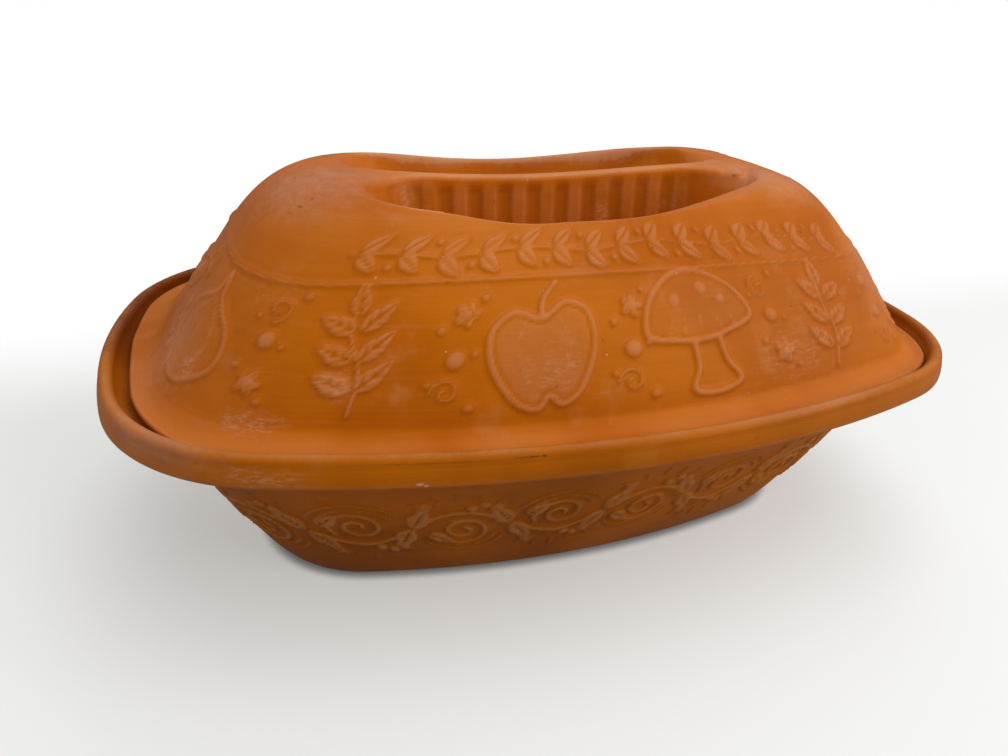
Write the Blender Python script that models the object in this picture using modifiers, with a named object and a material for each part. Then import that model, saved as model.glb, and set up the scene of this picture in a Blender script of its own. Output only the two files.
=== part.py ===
import math
from collections import namedtuple

import bmesh
import bpy
import numpy as np
from mathutils import Matrix

# Clay roaster: an oval dish with an upstanding lip, and a domed lid that nests inside the lip.
# Metres, +Z up. The origin is the middle of the dish's foot and X runs along the roaster.
# Seen from above, every outline is an oval of two side arcs, two end arcs and four corner arcs.

# Rim of the dish, seen from above
RIM_LENGTH = 0.3500
RIM_WIDTH = 0.2230
RIM_SIDE_RADIUS = 0.4340
RIM_END_RADIUS = 0.2000
RIM_CORNER_RADIUS = 0.0690

# Rim of the dish, in section
DISH_HEIGHT = 0.0906
BAND_HEIGHT = 0.0107
BAND_ROUND = 0.0014
LIP_LEAN = 0.0010
LIP_THICKNESS = 0.0050
LIP_DRAFT = 0.0012
CREST_ROUND = 0.0030
SEAT_DEPTH = 0.0076
MOUTH_ROUND = 0.0015
UNDERSIDE_DROP = 0.0075
UNDERSIDE_FILLET = 0.0030
UNDERSIDE_EASE = 1.5

# Wall and foot of the dish
END_OVERHANG = 0.0152
SIDE_OVERHANG = 0.0176
FOOT_LENGTH = 0.2500
FOOT_WIDTH = 0.1190
FOOT_SIDE_RADIUS = 0.4000
FOOT_END_RADIUS = 0.1700
FOOT_CORNER_RADIUS = 0.0470
FOOT_ROUND = 0.0036
FOOT_LEAN = 60
DISH_WALL = 0.0085
FLOOR_THICKNESS = 0.0090
FLOOR_ROUND = 0.0100

# Low ribs on the dish's floor
FLOOR_RIB_COUNT = 5
FLOOR_RIB_PITCH = 0.0160
FLOOR_RIB_LENGTH = 0.1500
FLOOR_RIB_WIDTH = 0.0060
FLOOR_RIB_HEIGHT = 0.0025
FLOOR_RIB_SINK = 0.0020
FLOOR_RIB_ROUND = 0.0015

# Clearances between the lid and the dish
SEAT_GAP = 0.0003
LID_SIDE_GAP = 0.0010
LID_END_GAP = 0.0042

# Flange of the lid
FLANGE_END_RADIUS = 0.4000
FLANGE_CORNER_RADIUS = 0.0600
FLANGE_THICKNESS = 0.0054
FLANGE_WIDTH = 0.0085
FLANGE_ROUND = 0.0013
COVE_DEPTH = 0.0006
COVE_RISE = 0.0023

# Dome of the lid
LID_HEIGHT = 0.0694
LID_WALL = 0.0080
CROWN_LENGTH = 0.1768
CROWN_WIDTH = 0.1108
CROWN_SIDE_RADIUS = 0.2310
CROWN_END_RADIUS = 0.0700
CROWN_CORNER_RADIUS = 0.0450
CROWN_RISE = 0.0025
DIP_DEPTH = 0.0085
DIP_REACH = 0.1043
DIP_OFFSET = 0.0096

# Finger wells in the crown
WELL_DEPTH = 0.0200
WELL_EDGE = 0.0010
WELL_END_REACH = 0.0036
WELL_FLOOR_LENGTH = 0.1000
WELL_FLOOR_WIDTH = 0.0720
WELL_FLOOR_CORNER = 0.0240
WELL_RAMP = 0.667

# Fluted grip rib between the wells
RIB_WIDTH = 0.0078
RIB_DRAFT = 0.0030
RIB_ROUND = 0.0010
FLUTE_COUNT = 11
FLUTE_PITCH = 0.0120
FLUTE_DEPTH = 0.0018
FLUTE_HEADROOM = 0.0036
FLUTE_RUNOUT = 0.0008

# Facets of the outlines and of the rows between them, with the turns of rounded edges in degrees
SIDE_STEPS = 7
CORNER_STEPS = 6
CORNER_FIT = 0.98
END_STEPS = 4
WALL_ROWS = 7
INSIDE_ROWS = 5
DOME_ROWS = 9
WELL_ROWS = 5
FLUTE_STEPS = 4
WALL_SAMPLES = 41
EDGE_TURNS = (0, 45, 90)
CREST_TURNS = (0, 35, 65, 90, 115, 145, 180)
FLOOR_TURNS = (30, 60, 90)
COVE_SHARES = (0.2, 0.4, 0.6, 0.8)
CROWN_SHARES = (0.86, 0.70, 0.50, 0.30, 0.12)
OVERCUT = 0.0020
SLOPE_STEP = 0.01

# Curves of the walls: how far across and how far up the two inner control points lie
WALL_ACROSS = (0.27, 0.55)
WALL_UP = (0.20, 0.62)
DOME_IN_END = (0.437, 0.499)
DOME_IN_SIDE = (0.271, 0.991)
DOME_UP = (0.541, 0.973)

Oval = namedtuple("Oval", "half_length half_width side_radius end_radius corner_radius")


def remove_everything():
    for item in list(bpy.data.objects):
        bpy.data.objects.remove(item, do_unlink=True)


def make_collection(name):
    collection = bpy.data.collections.new(name)
    bpy.context.scene.collection.children.link(collection)
    return collection


def make_material(name, colour, roughness):
    material = bpy.data.materials.new(name)
    material.use_nodes = True
    shader = material.node_tree.nodes["Principled BSDF"]
    shader.inputs["Base Color"].default_value = (*colour, 1.0)
    shader.inputs["Roughness"].default_value = roughness
    shader.inputs["Metallic"].default_value = 0.0
    return material


def inset(oval, distance):
    return Oval(*(value - distance for value in oval))


def mix(first, second, share, width_share=None):
    shares = [share] * len(first)
    if width_share is not None:
        shares[1] = width_share
    return Oval(*(a + (b - a) * part for a, b, part in zip(first, second, shares)))


def bezier(share, controls):
    rest = 1 - share
    return 3 * controls[0] * share * rest ** 2 + 3 * controls[1] * share ** 2 * rest + share ** 3


def radians(degrees):
    return [math.radians(turn) for turn in degrees]


def arc_points(centre, radius, start, end, steps):
    angles = [start + (end - start) * step / steps for step in range(steps + 1)]
    return [(centre[0] + radius * math.cos(a), centre[1] + radius * math.sin(a)) for a in angles]


def widest_corner(oval):
    # A corner arc this large would reach the tip of the oval and leave no end arc
    spare = 2 * oval.side_radius * oval.half_width - oval.half_width ** 2 - oval.half_length ** 2
    return spare / (2 * (oval.side_radius - oval.half_length))


def outline(oval):
    # The corner arc touches the end arc and the side arc from inside
    corner_radius = min(oval.corner_radius, widest_corner(oval) * CORNER_FIT)
    side_centre = (0.0, oval.half_width - oval.side_radius)
    end_centre = (oval.half_length - oval.end_radius, 0.0)
    side_reach = oval.side_radius - corner_radius
    end_reach = oval.end_radius - corner_radius
    across = end_centre[0] - side_centre[0]
    up = end_centre[1] - side_centre[1]
    apart = math.hypot(across, up)
    along = (side_reach ** 2 - end_reach ** 2 + apart ** 2) / (2 * apart)
    off = math.sqrt(side_reach ** 2 - along ** 2)
    corner_centre = (
        side_centre[0] + (along * across + off * up) / apart,
        side_centre[1] + (along * up - off * across) / apart,
    )
    end_turn = math.atan2(corner_centre[1] - end_centre[1], corner_centre[0] - end_centre[0])
    side_turn = math.atan2(corner_centre[1] - side_centre[1], corner_centre[0] - side_centre[0])
    quarter = arc_points(end_centre, oval.end_radius, 0.0, end_turn, END_STEPS)
    quarter += arc_points(corner_centre, corner_radius, end_turn, side_turn, CORNER_STEPS)[1:]
    quarter += arc_points(side_centre, oval.side_radius, side_turn, math.pi / 2, SIDE_STEPS)[1:]
    back = quarter[::-1]
    ring = quarter[:-1]
    ring += [(-x, y) for x, y in back[:-1]]
    ring += [(-x, -y) for x, y in quarter[:-1]]
    ring += [(x, -y) for x, y in back[:-1]]
    return ring


def level_ring(oval, height):
    return [(x, y, height) for x, y in outline(oval)]


def loft(name, rings, collection, peak=None):
    # Rings run anticlockwise seen from above, up the outside and then down the inside
    mesh = bpy.data.meshes.new(name)
    shape = bmesh.new()
    loops = [[shape.verts.new(point) for point in ring] for ring in rings]
    count = len(loops[0])
    for lower, upper in zip(loops, loops[1:]):
        for here in range(count):
            there = (here + 1) % count
            shape.faces.new((lower[here], lower[there], upper[there], upper[here]))
    shape.faces.new(loops[0][::-1])
    if peak is None:
        shape.faces.new(loops[-1])
    else:
        top = shape.verts.new(peak)
        for here in range(count):
            shape.faces.new((loops[-1][here], loops[-1][(here + 1) % count], top))
    bmesh.ops.recalc_face_normals(shape, faces=shape.faces)
    bmesh.ops.triangulate(shape, faces=[face for face in shape.faces if len(face.verts) == 4])
    shape.to_mesh(mesh)
    shape.free()
    mesh.shade_smooth()
    mesh.set_sharp_from_angle(angle=math.radians(35))
    item = bpy.data.objects.new(name, mesh)
    collection.objects.link(item)
    return item


def boolean(item, cutter, operation):
    modifier = item.modifiers.new(f"{operation.lower()}_{cutter.name}", "BOOLEAN")
    modifier.operation = operation
    modifier.solver = "EXACT"
    modifier.object = cutter


def hide_cutter(item, parent=None):
    item.hide_render = True
    item.display_type = "WIRE"
    item.parent = parent


def rim_oval():
    return Oval(
        RIM_LENGTH / 2, RIM_WIDTH / 2, RIM_SIDE_RADIUS, RIM_END_RADIUS, RIM_CORNER_RADIUS
    )


def foot_oval():
    return Oval(
        FOOT_LENGTH / 2, FOOT_WIDTH / 2, FOOT_SIDE_RADIUS, FOOT_END_RADIUS, FOOT_CORNER_RADIUS
    )


def lip_foot_oval():
    return inset(rim_oval(), LIP_LEAN + LIP_THICKNESS + LIP_DRAFT)


def wall_top_oval():
    top = inset(rim_oval(), (END_OVERHANG + SIDE_OVERHANG) / 2)
    return top._replace(
        half_length=RIM_LENGTH / 2 - END_OVERHANG, half_width=RIM_WIDTH / 2 - SIDE_OVERHANG
    )


BAND_BOTTOM = DISH_HEIGHT - BAND_HEIGHT
SEAT_HEIGHT = DISH_HEIGHT - SEAT_DEPTH
WALL_TOP = BAND_BOTTOM - UNDERSIDE_DROP
WALL_BOTTOM = FOOT_ROUND * (1 - math.cos(math.radians(FOOT_LEAN)))


def wall_row(share):
    oval = mix(foot_oval(), wall_top_oval(), bezier(share, WALL_ACROSS))
    return oval, WALL_BOTTOM + (WALL_TOP - WALL_BOTTOM) * bezier(share, WALL_UP)


def wall_at(height):
    # The wall's outer oval at a height, carried on straight above its top
    shares = np.linspace(0, 1, WALL_SAMPLES)
    spread = bezier(shares, WALL_ACROSS)
    heights = WALL_BOTTOM + (WALL_TOP - WALL_BOTTOM) * bezier(shares, WALL_UP)
    slope = (spread[-1] - spread[-2]) / (heights[-1] - heights[-2])
    share = np.interp(height, heights, spread) + slope * max(height - WALL_TOP, 0.0)
    return mix(foot_oval(), wall_top_oval(), float(share))


def inside_wall_at(height):
    # The wall's thickness is measured square to its slope, so its level width is larger
    run = wall_top_oval().half_length - foot_oval().half_length
    rise = WALL_TOP - WALL_BOTTOM
    return inset(wall_at(height), DISH_WALL * math.hypot(run, rise) / rise)


def foot_rings():
    # The foot's edge is rounded until it leans as the wall does
    rings = []
    for angle in radians((0, FOOT_LEAN / 2)):
        across = FOOT_ROUND * (math.sin(math.radians(FOOT_LEAN)) - math.sin(angle))
        rings.append(level_ring(inset(foot_oval(), across), FOOT_ROUND * (1 - math.cos(angle))))
    return rings


def lip_rings():
    rim = rim_oval()
    rings = []
    # Rounded lower edge of the band
    for angle in radians(EDGE_TURNS):
        height = BAND_BOTTOM + BAND_ROUND * (1 - math.cos(angle))
        rings.append(level_ring(inset(rim, BAND_ROUND * (1 - math.sin(angle))), height))
    # Rounded crest between the leaning outer face and the inner face
    shoulder = DISH_HEIGHT - CREST_ROUND
    middle = LIP_LEAN + LIP_THICKNESS / 2
    for angle in radians(CREST_TURNS):
        across = middle - LIP_THICKNESS / 2 * math.cos(angle)
        rings.append(level_ring(inset(rim, across), shoulder + CREST_ROUND * math.sin(angle)))
    rings.append(level_ring(lip_foot_oval(), SEAT_HEIGHT))
    return rings


def inside_rings():
    mouth = inside_wall_at(SEAT_HEIGHT - MOUTH_ROUND)
    rings = [level_ring(inset(mouth, -MOUTH_ROUND), SEAT_HEIGHT)]
    low = FLOOR_THICKNESS + FLOOR_ROUND
    for row in range(INSIDE_ROWS + 1):
        height = SEAT_HEIGHT - MOUTH_ROUND - (SEAT_HEIGHT - MOUTH_ROUND - low) * row / INSIDE_ROWS
        rings.append(level_ring(inside_wall_at(height), height))
    for angle in radians(FLOOR_TURNS):
        inward = FLOOR_ROUND * (1 - math.cos(angle))
        height = FLOOR_THICKNESS + FLOOR_ROUND * (1 - math.sin(angle))
        rings.append(level_ring(inset(inside_wall_at(low), inward), height))
    return rings


def make_floor_ribs(cutters):
    size = (FLOOR_RIB_LENGTH, FLOOR_RIB_WIDTH, FLOOR_RIB_HEIGHT + FLOOR_RIB_SINK)
    mesh = bpy.data.meshes.new("floor_ribs")
    shape = bmesh.new()
    bmesh.ops.create_cube(shape, size=1, matrix=Matrix.Diagonal((*size, 1)))
    shape.to_mesh(mesh)
    shape.free()
    ribs = bpy.data.objects.new("floor_ribs", mesh)
    cutters.objects.link(ribs)
    first = -FLOOR_RIB_PITCH * (FLOOR_RIB_COUNT - 1) / 2
    ribs.location = (0, first, FLOOR_THICKNESS + (FLOOR_RIB_HEIGHT - FLOOR_RIB_SINK) / 2)
    bevel = ribs.modifiers.new("round", "BEVEL")
    bevel.width = FLOOR_RIB_ROUND
    bevel.segments = 1
    row = ribs.modifiers.new("row", "ARRAY")
    row.count = FLOOR_RIB_COUNT
    row.use_relative_offset = False
    row.use_constant_offset = True
    row.constant_offset_displace = (0, FLOOR_RIB_PITCH, 0)
    hide_cutter(ribs)
    return ribs


def make_dish(parts, cutters):
    rings = foot_rings()
    for row in range(WALL_ROWS + 1):
        oval, height = wall_row(row / WALL_ROWS)
        rings.append(level_ring(oval, height))
    # A small fillet eases the wall into the sloping underside of the rim
    eased = UNDERSIDE_FILLET / SIDE_OVERHANG
    band_foot = inset(rim_oval(), BAND_ROUND)
    eased_height = WALL_TOP + UNDERSIDE_DROP * eased * UNDERSIDE_EASE
    rings.append(level_ring(mix(wall_top_oval(), band_foot, eased), eased_height))
    rings += lip_rings()
    rings += inside_rings()
    dish = loft("dish", rings, parts)
    boolean(dish, make_floor_ribs(cutters), "UNION")
    dish.data.materials.append(make_material("clay_dish", (0.50, 0.17, 0.05), 0.55))
    return dish


def flange_oval():
    lip = lip_foot_oval()
    return Oval(
        lip.half_length - LID_END_GAP,
        lip.half_width - LID_SIDE_GAP,
        lip.side_radius - LID_SIDE_GAP,
        FLANGE_END_RADIUS,
        FLANGE_CORNER_RADIUS,
    )


def crown_oval():
    return Oval(
        CROWN_LENGTH / 2, CROWN_WIDTH / 2, CROWN_SIDE_RADIUS, CROWN_END_RADIUS, CROWN_CORNER_RADIUS
    )


DOME_FOOT = FLANGE_THICKNESS + COVE_RISE


def dip_at(x):
    # The crown sags along its length, lowest a little to the left of the middle
    along = min(abs(x + DIP_OFFSET) / DIP_REACH, 1.0)
    return DIP_DEPTH * (1 + math.cos(math.pi * along)) / 2


def crown_height(x, share):
    # The share is 0 in the middle of the crown and 1 at its edge
    return LID_HEIGHT - dip_at(x) + CROWN_RISE * (1 - share ** 2) ** 2


def dome_ring(share, wall=0.0):
    # A ring of the dome, or of the surface one wall thickness inside it
    foot = inset(flange_oval(), FLANGE_WIDTH)
    ends = bezier(share, DOME_IN_END)
    sides = bezier(share, DOME_IN_SIDE)
    oval = mix(foot, crown_oval(), ends, sides)
    rise = bezier(share, DOME_UP)
    before = max(share - SLOPE_STEP, 0.0)
    after = min(share + SLOPE_STEP, 1.0)
    up = (LID_HEIGHT - DOME_FOOT) * (bezier(after, DOME_UP) - bezier(before, DOME_UP))
    narrower = (foot.half_length - CROWN_LENGTH / 2) * (
        bezier(after, DOME_IN_END) - bezier(before, DOME_IN_END)
    )
    slant = math.hypot(up, narrower)
    height = DOME_FOOT + (LID_HEIGHT - DOME_FOOT) * rise - wall * narrower / slant
    ring = outline(inset(oval, wall * up / slant))
    return [(x, y, height - dip_at(x) * rise ** 2) for x, y in ring]


def flange_rings():
    edge = flange_oval()
    rings = []
    for angle in radians(EDGE_TURNS):
        across = FLANGE_ROUND * (1 - math.sin(angle))
        rings.append(level_ring(inset(edge, across), FLANGE_ROUND * (1 - math.cos(angle))))
    for angle in radians(EDGE_TURNS):
        across = FLANGE_ROUND * (1 - math.cos(angle))
        height = FLANGE_THICKNESS - FLANGE_ROUND * (1 - math.sin(angle))
        rings.append(level_ring(inset(edge, across), height))
    # A shallow cove eases the flange's top into the dome
    for share in COVE_SHARES:
        across = FLANGE_ROUND + (FLANGE_WIDTH - FLANGE_ROUND) * share
        height = FLANGE_THICKNESS - COVE_DEPTH * math.sin(math.pi * share) + COVE_RISE * share ** 4
        rings.append(level_ring(inset(edge, across), height))
    return rings


def well_ring(turn, wall=0.0):
    # The turn runs from 0 on the wells' floor to a right angle at the height of their edge
    floor_height = LID_HEIGHT - DIP_DEPTH - WELL_DEPTH
    crown = crown_oval()
    edge = crown._replace(
        half_length=crown.half_length + WELL_END_REACH, half_width=crown.half_width - WELL_EDGE
    )
    floor = Oval(
        WELL_FLOOR_LENGTH / 2,
        WELL_FLOOR_WIDTH / 2,
        CROWN_SIDE_RADIUS,
        CROWN_END_RADIUS,
        WELL_FLOOR_CORNER,
    )
    steep = math.sin(turn)
    risen = 1 - math.cos(turn)
    # The ends ramp up gently and the sides stand steeply
    oval = mix(floor, edge, steep + (risen - steep) * WELL_RAMP, steep)
    height = floor_height + WELL_DEPTH * risen - wall * math.cos(turn)
    return level_ring(inset(oval, -wall * steep), height)


def well_rings(wall=0.0):
    rings = [well_ring(math.pi / 2 * row / WELL_ROWS, wall) for row in range(WELL_ROWS + 1)]
    over = LID_HEIGHT + OVERCUT + wall
    # Above the side edges the ends go on widening, because the crown is higher there
    widest = crown_oval()._replace(
        half_length=CROWN_LENGTH / 2 + WELL_END_REACH + DIP_DEPTH,
        half_width=CROWN_WIDTH / 2 - WELL_EDGE,
    )
    rings.append(level_ring(inset(widest, -wall), over))
    return rings


def rib_ring(half_width, fluting, height_at):
    reach = CROWN_LENGTH
    run = FLUTE_PITCH * FLUTE_COUNT / 2
    stops = [-reach]
    depths = [0.0]
    for step in range(FLUTE_COUNT * FLUTE_STEPS + 1):
        across = 2 * ((step / FLUTE_STEPS) % 1) - 1
        stops.append(-run + FLUTE_PITCH * step / FLUTE_STEPS)
        depths.append(FLUTE_DEPTH * fluting * (1 - across ** 2))
    stops.append(reach)
    depths.append(0.0)
    front = [(x, depth - half_width, height_at(x)) for x, depth in zip(stops, depths)]
    back = [(x, half_width - depth, height_at(x)) for x, depth in zip(stops, depths)]
    return front + back[::-1]


def make_rib(cutters):
    bottom = LID_HEIGHT - DIP_DEPTH - WELL_DEPTH - OVERCUT
    top = LID_HEIGHT + 2 * OVERCUT
    half = RIB_WIDTH / 2

    def below_crown(drop):
        return lambda x: crown_height(x, min(abs(x) / (CROWN_LENGTH / 2), 1.0)) - drop

    rings = [
        rib_ring(half + RIB_DRAFT, 1.0, lambda x: bottom),
        rib_ring(half + RIB_DRAFT * FLUTE_HEADROOM / WELL_DEPTH, 1.0, below_crown(FLUTE_HEADROOM)),
        rib_ring(half, 0.0, below_crown(FLUTE_HEADROOM - FLUTE_RUNOUT)),
        rib_ring(half, 0.0, below_crown(RIB_ROUND)),
        rib_ring(half - RIB_ROUND, 0.0, below_crown(-RIB_ROUND / 2)),
        rib_ring(half - RIB_ROUND, 0.0, lambda x: top),
    ]
    return loft("grip_rib", rings, cutters)


def make_lid(parts, cutters):
    seat = bpy.data.objects.new("lid_seat", None)
    seat.location = (0, 0, SEAT_HEIGHT + SEAT_GAP)
    parts.objects.link(seat)

    rings = flange_rings()
    rings += [dome_ring(row / DOME_ROWS) for row in range(DOME_ROWS + 1)]
    crown = outline(crown_oval())
    for share in CROWN_SHARES:
        rings.append([(x * share, y * share, crown_height(x * share, share)) for x, y in crown])
    lid = loft("lid", rings, parts, peak=(0, 0, crown_height(0, 0)))
    lid.parent = seat

    wells = loft("finger_wells", well_rings(), cutters)
    rib = make_rib(cutters)
    boolean(wells, rib, "DIFFERENCE")

    inside = [dome_ring(row / DOME_ROWS, LID_WALL) for row in range(DOME_ROWS + 1)]
    mouth = [(x, y, -OVERCUT) for x, y, _ in inside[0]]
    roof = (0, 0, LID_HEIGHT - DIP_DEPTH - LID_WALL)
    hollow = loft("lid_hollow", [mouth] + inside, cutters, peak=roof)
    cup = loft("well_shell", well_rings(LID_WALL), cutters)
    boolean(hollow, cup, "DIFFERENCE")

    boolean(lid, wells, "DIFFERENCE")
    boolean(lid, hollow, "DIFFERENCE")
    for item in (wells, rib, hollow, cup):
        hide_cutter(item, seat)
    lid.data.materials.append(make_material("clay_lid", (0.54, 0.19, 0.06), 0.50))
    return lid


remove_everything()
roaster = make_collection("clay_roaster")
cutter_collection = make_collection("cutters")
make_dish(roaster, cutter_collection)
make_lid(roaster, cutter_collection)
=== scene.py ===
import math

import bpy
import numpy as np
from mathutils import Matrix, Vector


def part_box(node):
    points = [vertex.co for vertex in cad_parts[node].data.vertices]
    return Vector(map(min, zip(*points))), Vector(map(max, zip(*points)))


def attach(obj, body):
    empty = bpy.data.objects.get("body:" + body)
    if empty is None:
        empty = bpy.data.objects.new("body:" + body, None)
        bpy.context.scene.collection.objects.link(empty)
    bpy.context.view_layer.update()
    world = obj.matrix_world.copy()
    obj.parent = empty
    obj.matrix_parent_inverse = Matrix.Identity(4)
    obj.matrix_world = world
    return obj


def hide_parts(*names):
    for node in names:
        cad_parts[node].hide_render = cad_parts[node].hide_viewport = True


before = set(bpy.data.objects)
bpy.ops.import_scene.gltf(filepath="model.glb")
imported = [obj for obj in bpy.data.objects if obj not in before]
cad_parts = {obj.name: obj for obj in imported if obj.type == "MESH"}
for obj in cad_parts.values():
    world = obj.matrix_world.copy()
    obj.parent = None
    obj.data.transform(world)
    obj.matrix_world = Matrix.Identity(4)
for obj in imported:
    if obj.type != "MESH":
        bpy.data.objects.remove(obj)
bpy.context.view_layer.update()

# Clay roaster: a fired clay dish and its lid, both with carved ornament, on a pale floor.
# Metres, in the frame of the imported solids. Ornament is drawn in millimetres on the unrolled wall.
dishLow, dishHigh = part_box("dish")
lidLow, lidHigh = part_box("lid")
mm = 0.001


def say(words):
    print("scene:", words)


# Ovals of arcs, and rows of points on them

def oval(halfLength, halfWidth, sideRadius, endRadius, cornerRadius):
    return np.array([halfLength, halfWidth, sideRadius, endRadius, cornerRadius])


def ovalArcs(shape):
    # Centres and turns of the end arc, the corner arc and the side arc of one quarter
    halfLength, halfWidth, sideRadius, endRadius, cornerRadius = shape
    endX = halfLength - endRadius
    sideY = halfWidth - sideRadius
    sideReach = sideRadius - cornerRadius
    endReach = endRadius - cornerRadius
    apart = math.hypot(endX, sideY)
    along = (sideReach ** 2 - endReach ** 2 + apart ** 2) / (2 * apart)
    off = math.sqrt(max(sideReach ** 2 - along ** 2, 0.0))
    cornerX = (along * endX - off * sideY) / apart
    cornerY = sideY + (-along * sideY - off * endX) / apart
    endTurn = math.atan2(cornerY, cornerX - endX)
    sideTurn = math.atan2(cornerY - sideY, cornerX)
    return endX, sideY, cornerX, cornerY, endTurn, sideTurn


def ring(shape, columns):
    # Points evenly along each quarter, anticlockwise from the right-hand tip
    endX, sideY, cornerX, cornerY, endTurn, sideTurn = ovalArcs(shape)
    sideRadius, endRadius, cornerRadius = shape[2:]
    endRun = endRadius * endTurn
    cornerRun = cornerRadius * (sideTurn - endTurn)
    sideRun = sideRadius * (math.pi / 2 - sideTurn)
    run = np.linspace(0, endRun + cornerRun + sideRun, columns // 4 + 1)
    onEnd = run <= endRun
    onCorner = (run > endRun) & (run <= endRun + cornerRun)
    turn = np.where(onCorner, endTurn + (run - endRun) / cornerRadius,
                    sideTurn + (run - endRun - cornerRun) / sideRadius)
    turn = np.where(onEnd, run / endRadius, turn)
    radius = np.where(onEnd, endRadius, np.where(onCorner, cornerRadius, sideRadius))
    x = np.where(onEnd, endX, np.where(onCorner, cornerX, 0.0)) + radius * np.cos(turn)
    y = np.where(onEnd, 0.0, np.where(onCorner, cornerY, sideY)) + radius * np.sin(turn)
    y[0] = 0.0
    x[-1] = 0.0
    x = np.concatenate([x[:-1], -x[:0:-1], -x[:-1], x[:0:-1]])
    y = np.concatenate([y[:-1], y[:0:-1], -y[:-1], -y[:0:-1]])
    return np.stack([x, y], 1)


def levelRow(shape, height, columns):
    flat = ring(shape, columns)
    return np.column_stack([flat, np.full(len(flat), height)])


def halfWidthAt(shape, x):
    # How wide the oval is on either side of its long axis at each x, or below 0 past its tips
    endX, sideY, cornerX, cornerY, endTurn, sideTurn = ovalArcs(shape)
    halfLength, _, sideRadius, endRadius, cornerRadius = shape
    x = np.abs(x)

    def arc(centreX, centreY, radius):
        return centreY + np.sqrt(np.maximum(radius ** 2 - (x - centreX) ** 2, 0.0))

    sideEnds = sideRadius * math.cos(sideTurn)
    cornerEnds = cornerX + cornerRadius * math.cos(endTurn)
    width = np.where(x <= sideEnds, arc(0.0, sideY, sideRadius), np.where(
        x <= cornerEnds, arc(cornerX, cornerY, cornerRadius), arc(endX, 0.0, endRadius)))
    return np.where(x > halfLength, halfLength - x, width)


def bezier(share, controls):
    # A curve from 0 to 1, bent by two controls
    rest = 1 - share
    return 3 * controls[0] * share * rest ** 2 + 3 * controls[1] * share ** 2 * rest + share ** 3


def evenly(across, up, count):
    # Shares that step evenly along a curve given by many points
    length = np.concatenate([[0], np.cumsum(np.hypot(np.diff(across), np.diff(up)))])
    return np.interp(np.linspace(0, length[-1], count), length, np.linspace(0, 1, len(length)))


def smoothStep(value):
    value = np.clip(value, 0.0, 1.0)
    return value * value * (3 - 2 * value)


def softMin(first, second, reach):
    near = np.maximum(reach - np.abs(first - second), 0.0) / reach
    return np.minimum(first, second) - near ** 2 * reach / 4


# A shell is woven from rows of points

def newShell():
    return {"points": [], "faces": [], "count": 0, "marks": []}


def addRows(shell, rows, marks=None):
    rows = np.asarray(rows, float)
    count = rows.shape[0] * rows.shape[1]
    index = shell["count"] + np.arange(count).reshape(rows.shape[:2])
    shell["points"].append(rows.reshape(-1, 3))
    shell["marks"].append(np.zeros((count, 3)) if marks is None else marks.reshape(-1, 3))
    shell["count"] += count
    return index


def skin(shell, index, closed=True):
    after = np.roll(index, -1, axis=1) if closed else index[:, 1:]
    before = index if closed else index[:, :-1]
    quads = np.stack([before[:-1], after[:-1], after[1:], before[1:]], -1)
    shell["faces"] += quads.reshape(-1, 4).tolist()


def stitch(shell, first, second, closed=True):
    # Triangles between two edges of unlike counts, always across the shorter diagonal
    points = np.concatenate(shell["points"])
    if closed:
        first = np.append(first, first[0])
        second = np.append(second, second[0])
    a, b = points[first], points[second]
    i = j = 0
    while i < len(first) - 1 or j < len(second) - 1:
        ahead = i < len(first) - 1 and (
            j == len(second) - 1 or np.sum((a[i + 1] - b[j]) ** 2) <= np.sum((a[i] - b[j + 1]) ** 2))
        if ahead:
            shell["faces"].append([int(first[i]), int(first[i + 1]), int(second[j])])
            i += 1
        else:
            shell["faces"].append([int(first[i]), int(second[j + 1]), int(second[j])])
            j += 1


def finishShell(shell, name, body, material):
    mesh = bpy.data.meshes.new(name)
    mesh.from_pydata(np.concatenate(shell["points"]).tolist(), [], shell["faces"])
    marks = np.concatenate(shell["marks"])
    for column, label in enumerate(("relief", "wearAndHighlight", "soilAndShade")):
        layer = mesh.attributes.new(label, "FLOAT", "POINT")
        layer.data.foreach_set("value", marks[:, column].astype(np.float32))
    piece = bpy.data.objects.new(name, mesh)
    bpy.context.scene.collection.objects.link(piece)
    bpy.ops.object.select_all(action="DESELECT")
    bpy.context.view_layer.objects.active = piece
    piece.select_set(True)
    bpy.ops.object.mode_set(mode="EDIT")
    bpy.ops.mesh.select_all(action="SELECT")
    bpy.ops.mesh.normals_make_consistent(inside=False)
    bpy.ops.mesh.select_all(action="DESELECT")
    bpy.ops.object.mode_set(mode="OBJECT")
    bpy.ops.object.shade_smooth()
    piece.data.materials.append(material)
    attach(piece, body)
    say(f"{name}: {sum(len(face) - 2 for face in shell['faces'])} triangles")
    return piece


def weaveSheet(shell, sections, marks=None):
    # Sections run from the near side to the far side, the first at the left.
    # The border that comes back runs anticlockwise from above.
    index = addRows(shell, sections, marks)
    skin(shell, index, closed=False)
    return np.concatenate([index[:, 0], index[-1, 1:], index[-2::-1, -1], index[0, -2:0:-1]])


def startAt(shell, loop, point):
    # Turns a loop's numbering so that it starts beside a given point
    points = np.concatenate(shell["points"])
    nearest = int(np.argmin(np.sum((points[loop] - points[point]) ** 2, 1)))
    return np.roll(loop, -nearest)


# Ornament is pressed on the unrolled wall, in millimetres: along it and up it

def newCanvas(along, up, around):
    return {"along": along, "up": up, "around": around, "height": np.zeros_like(along)}


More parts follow.
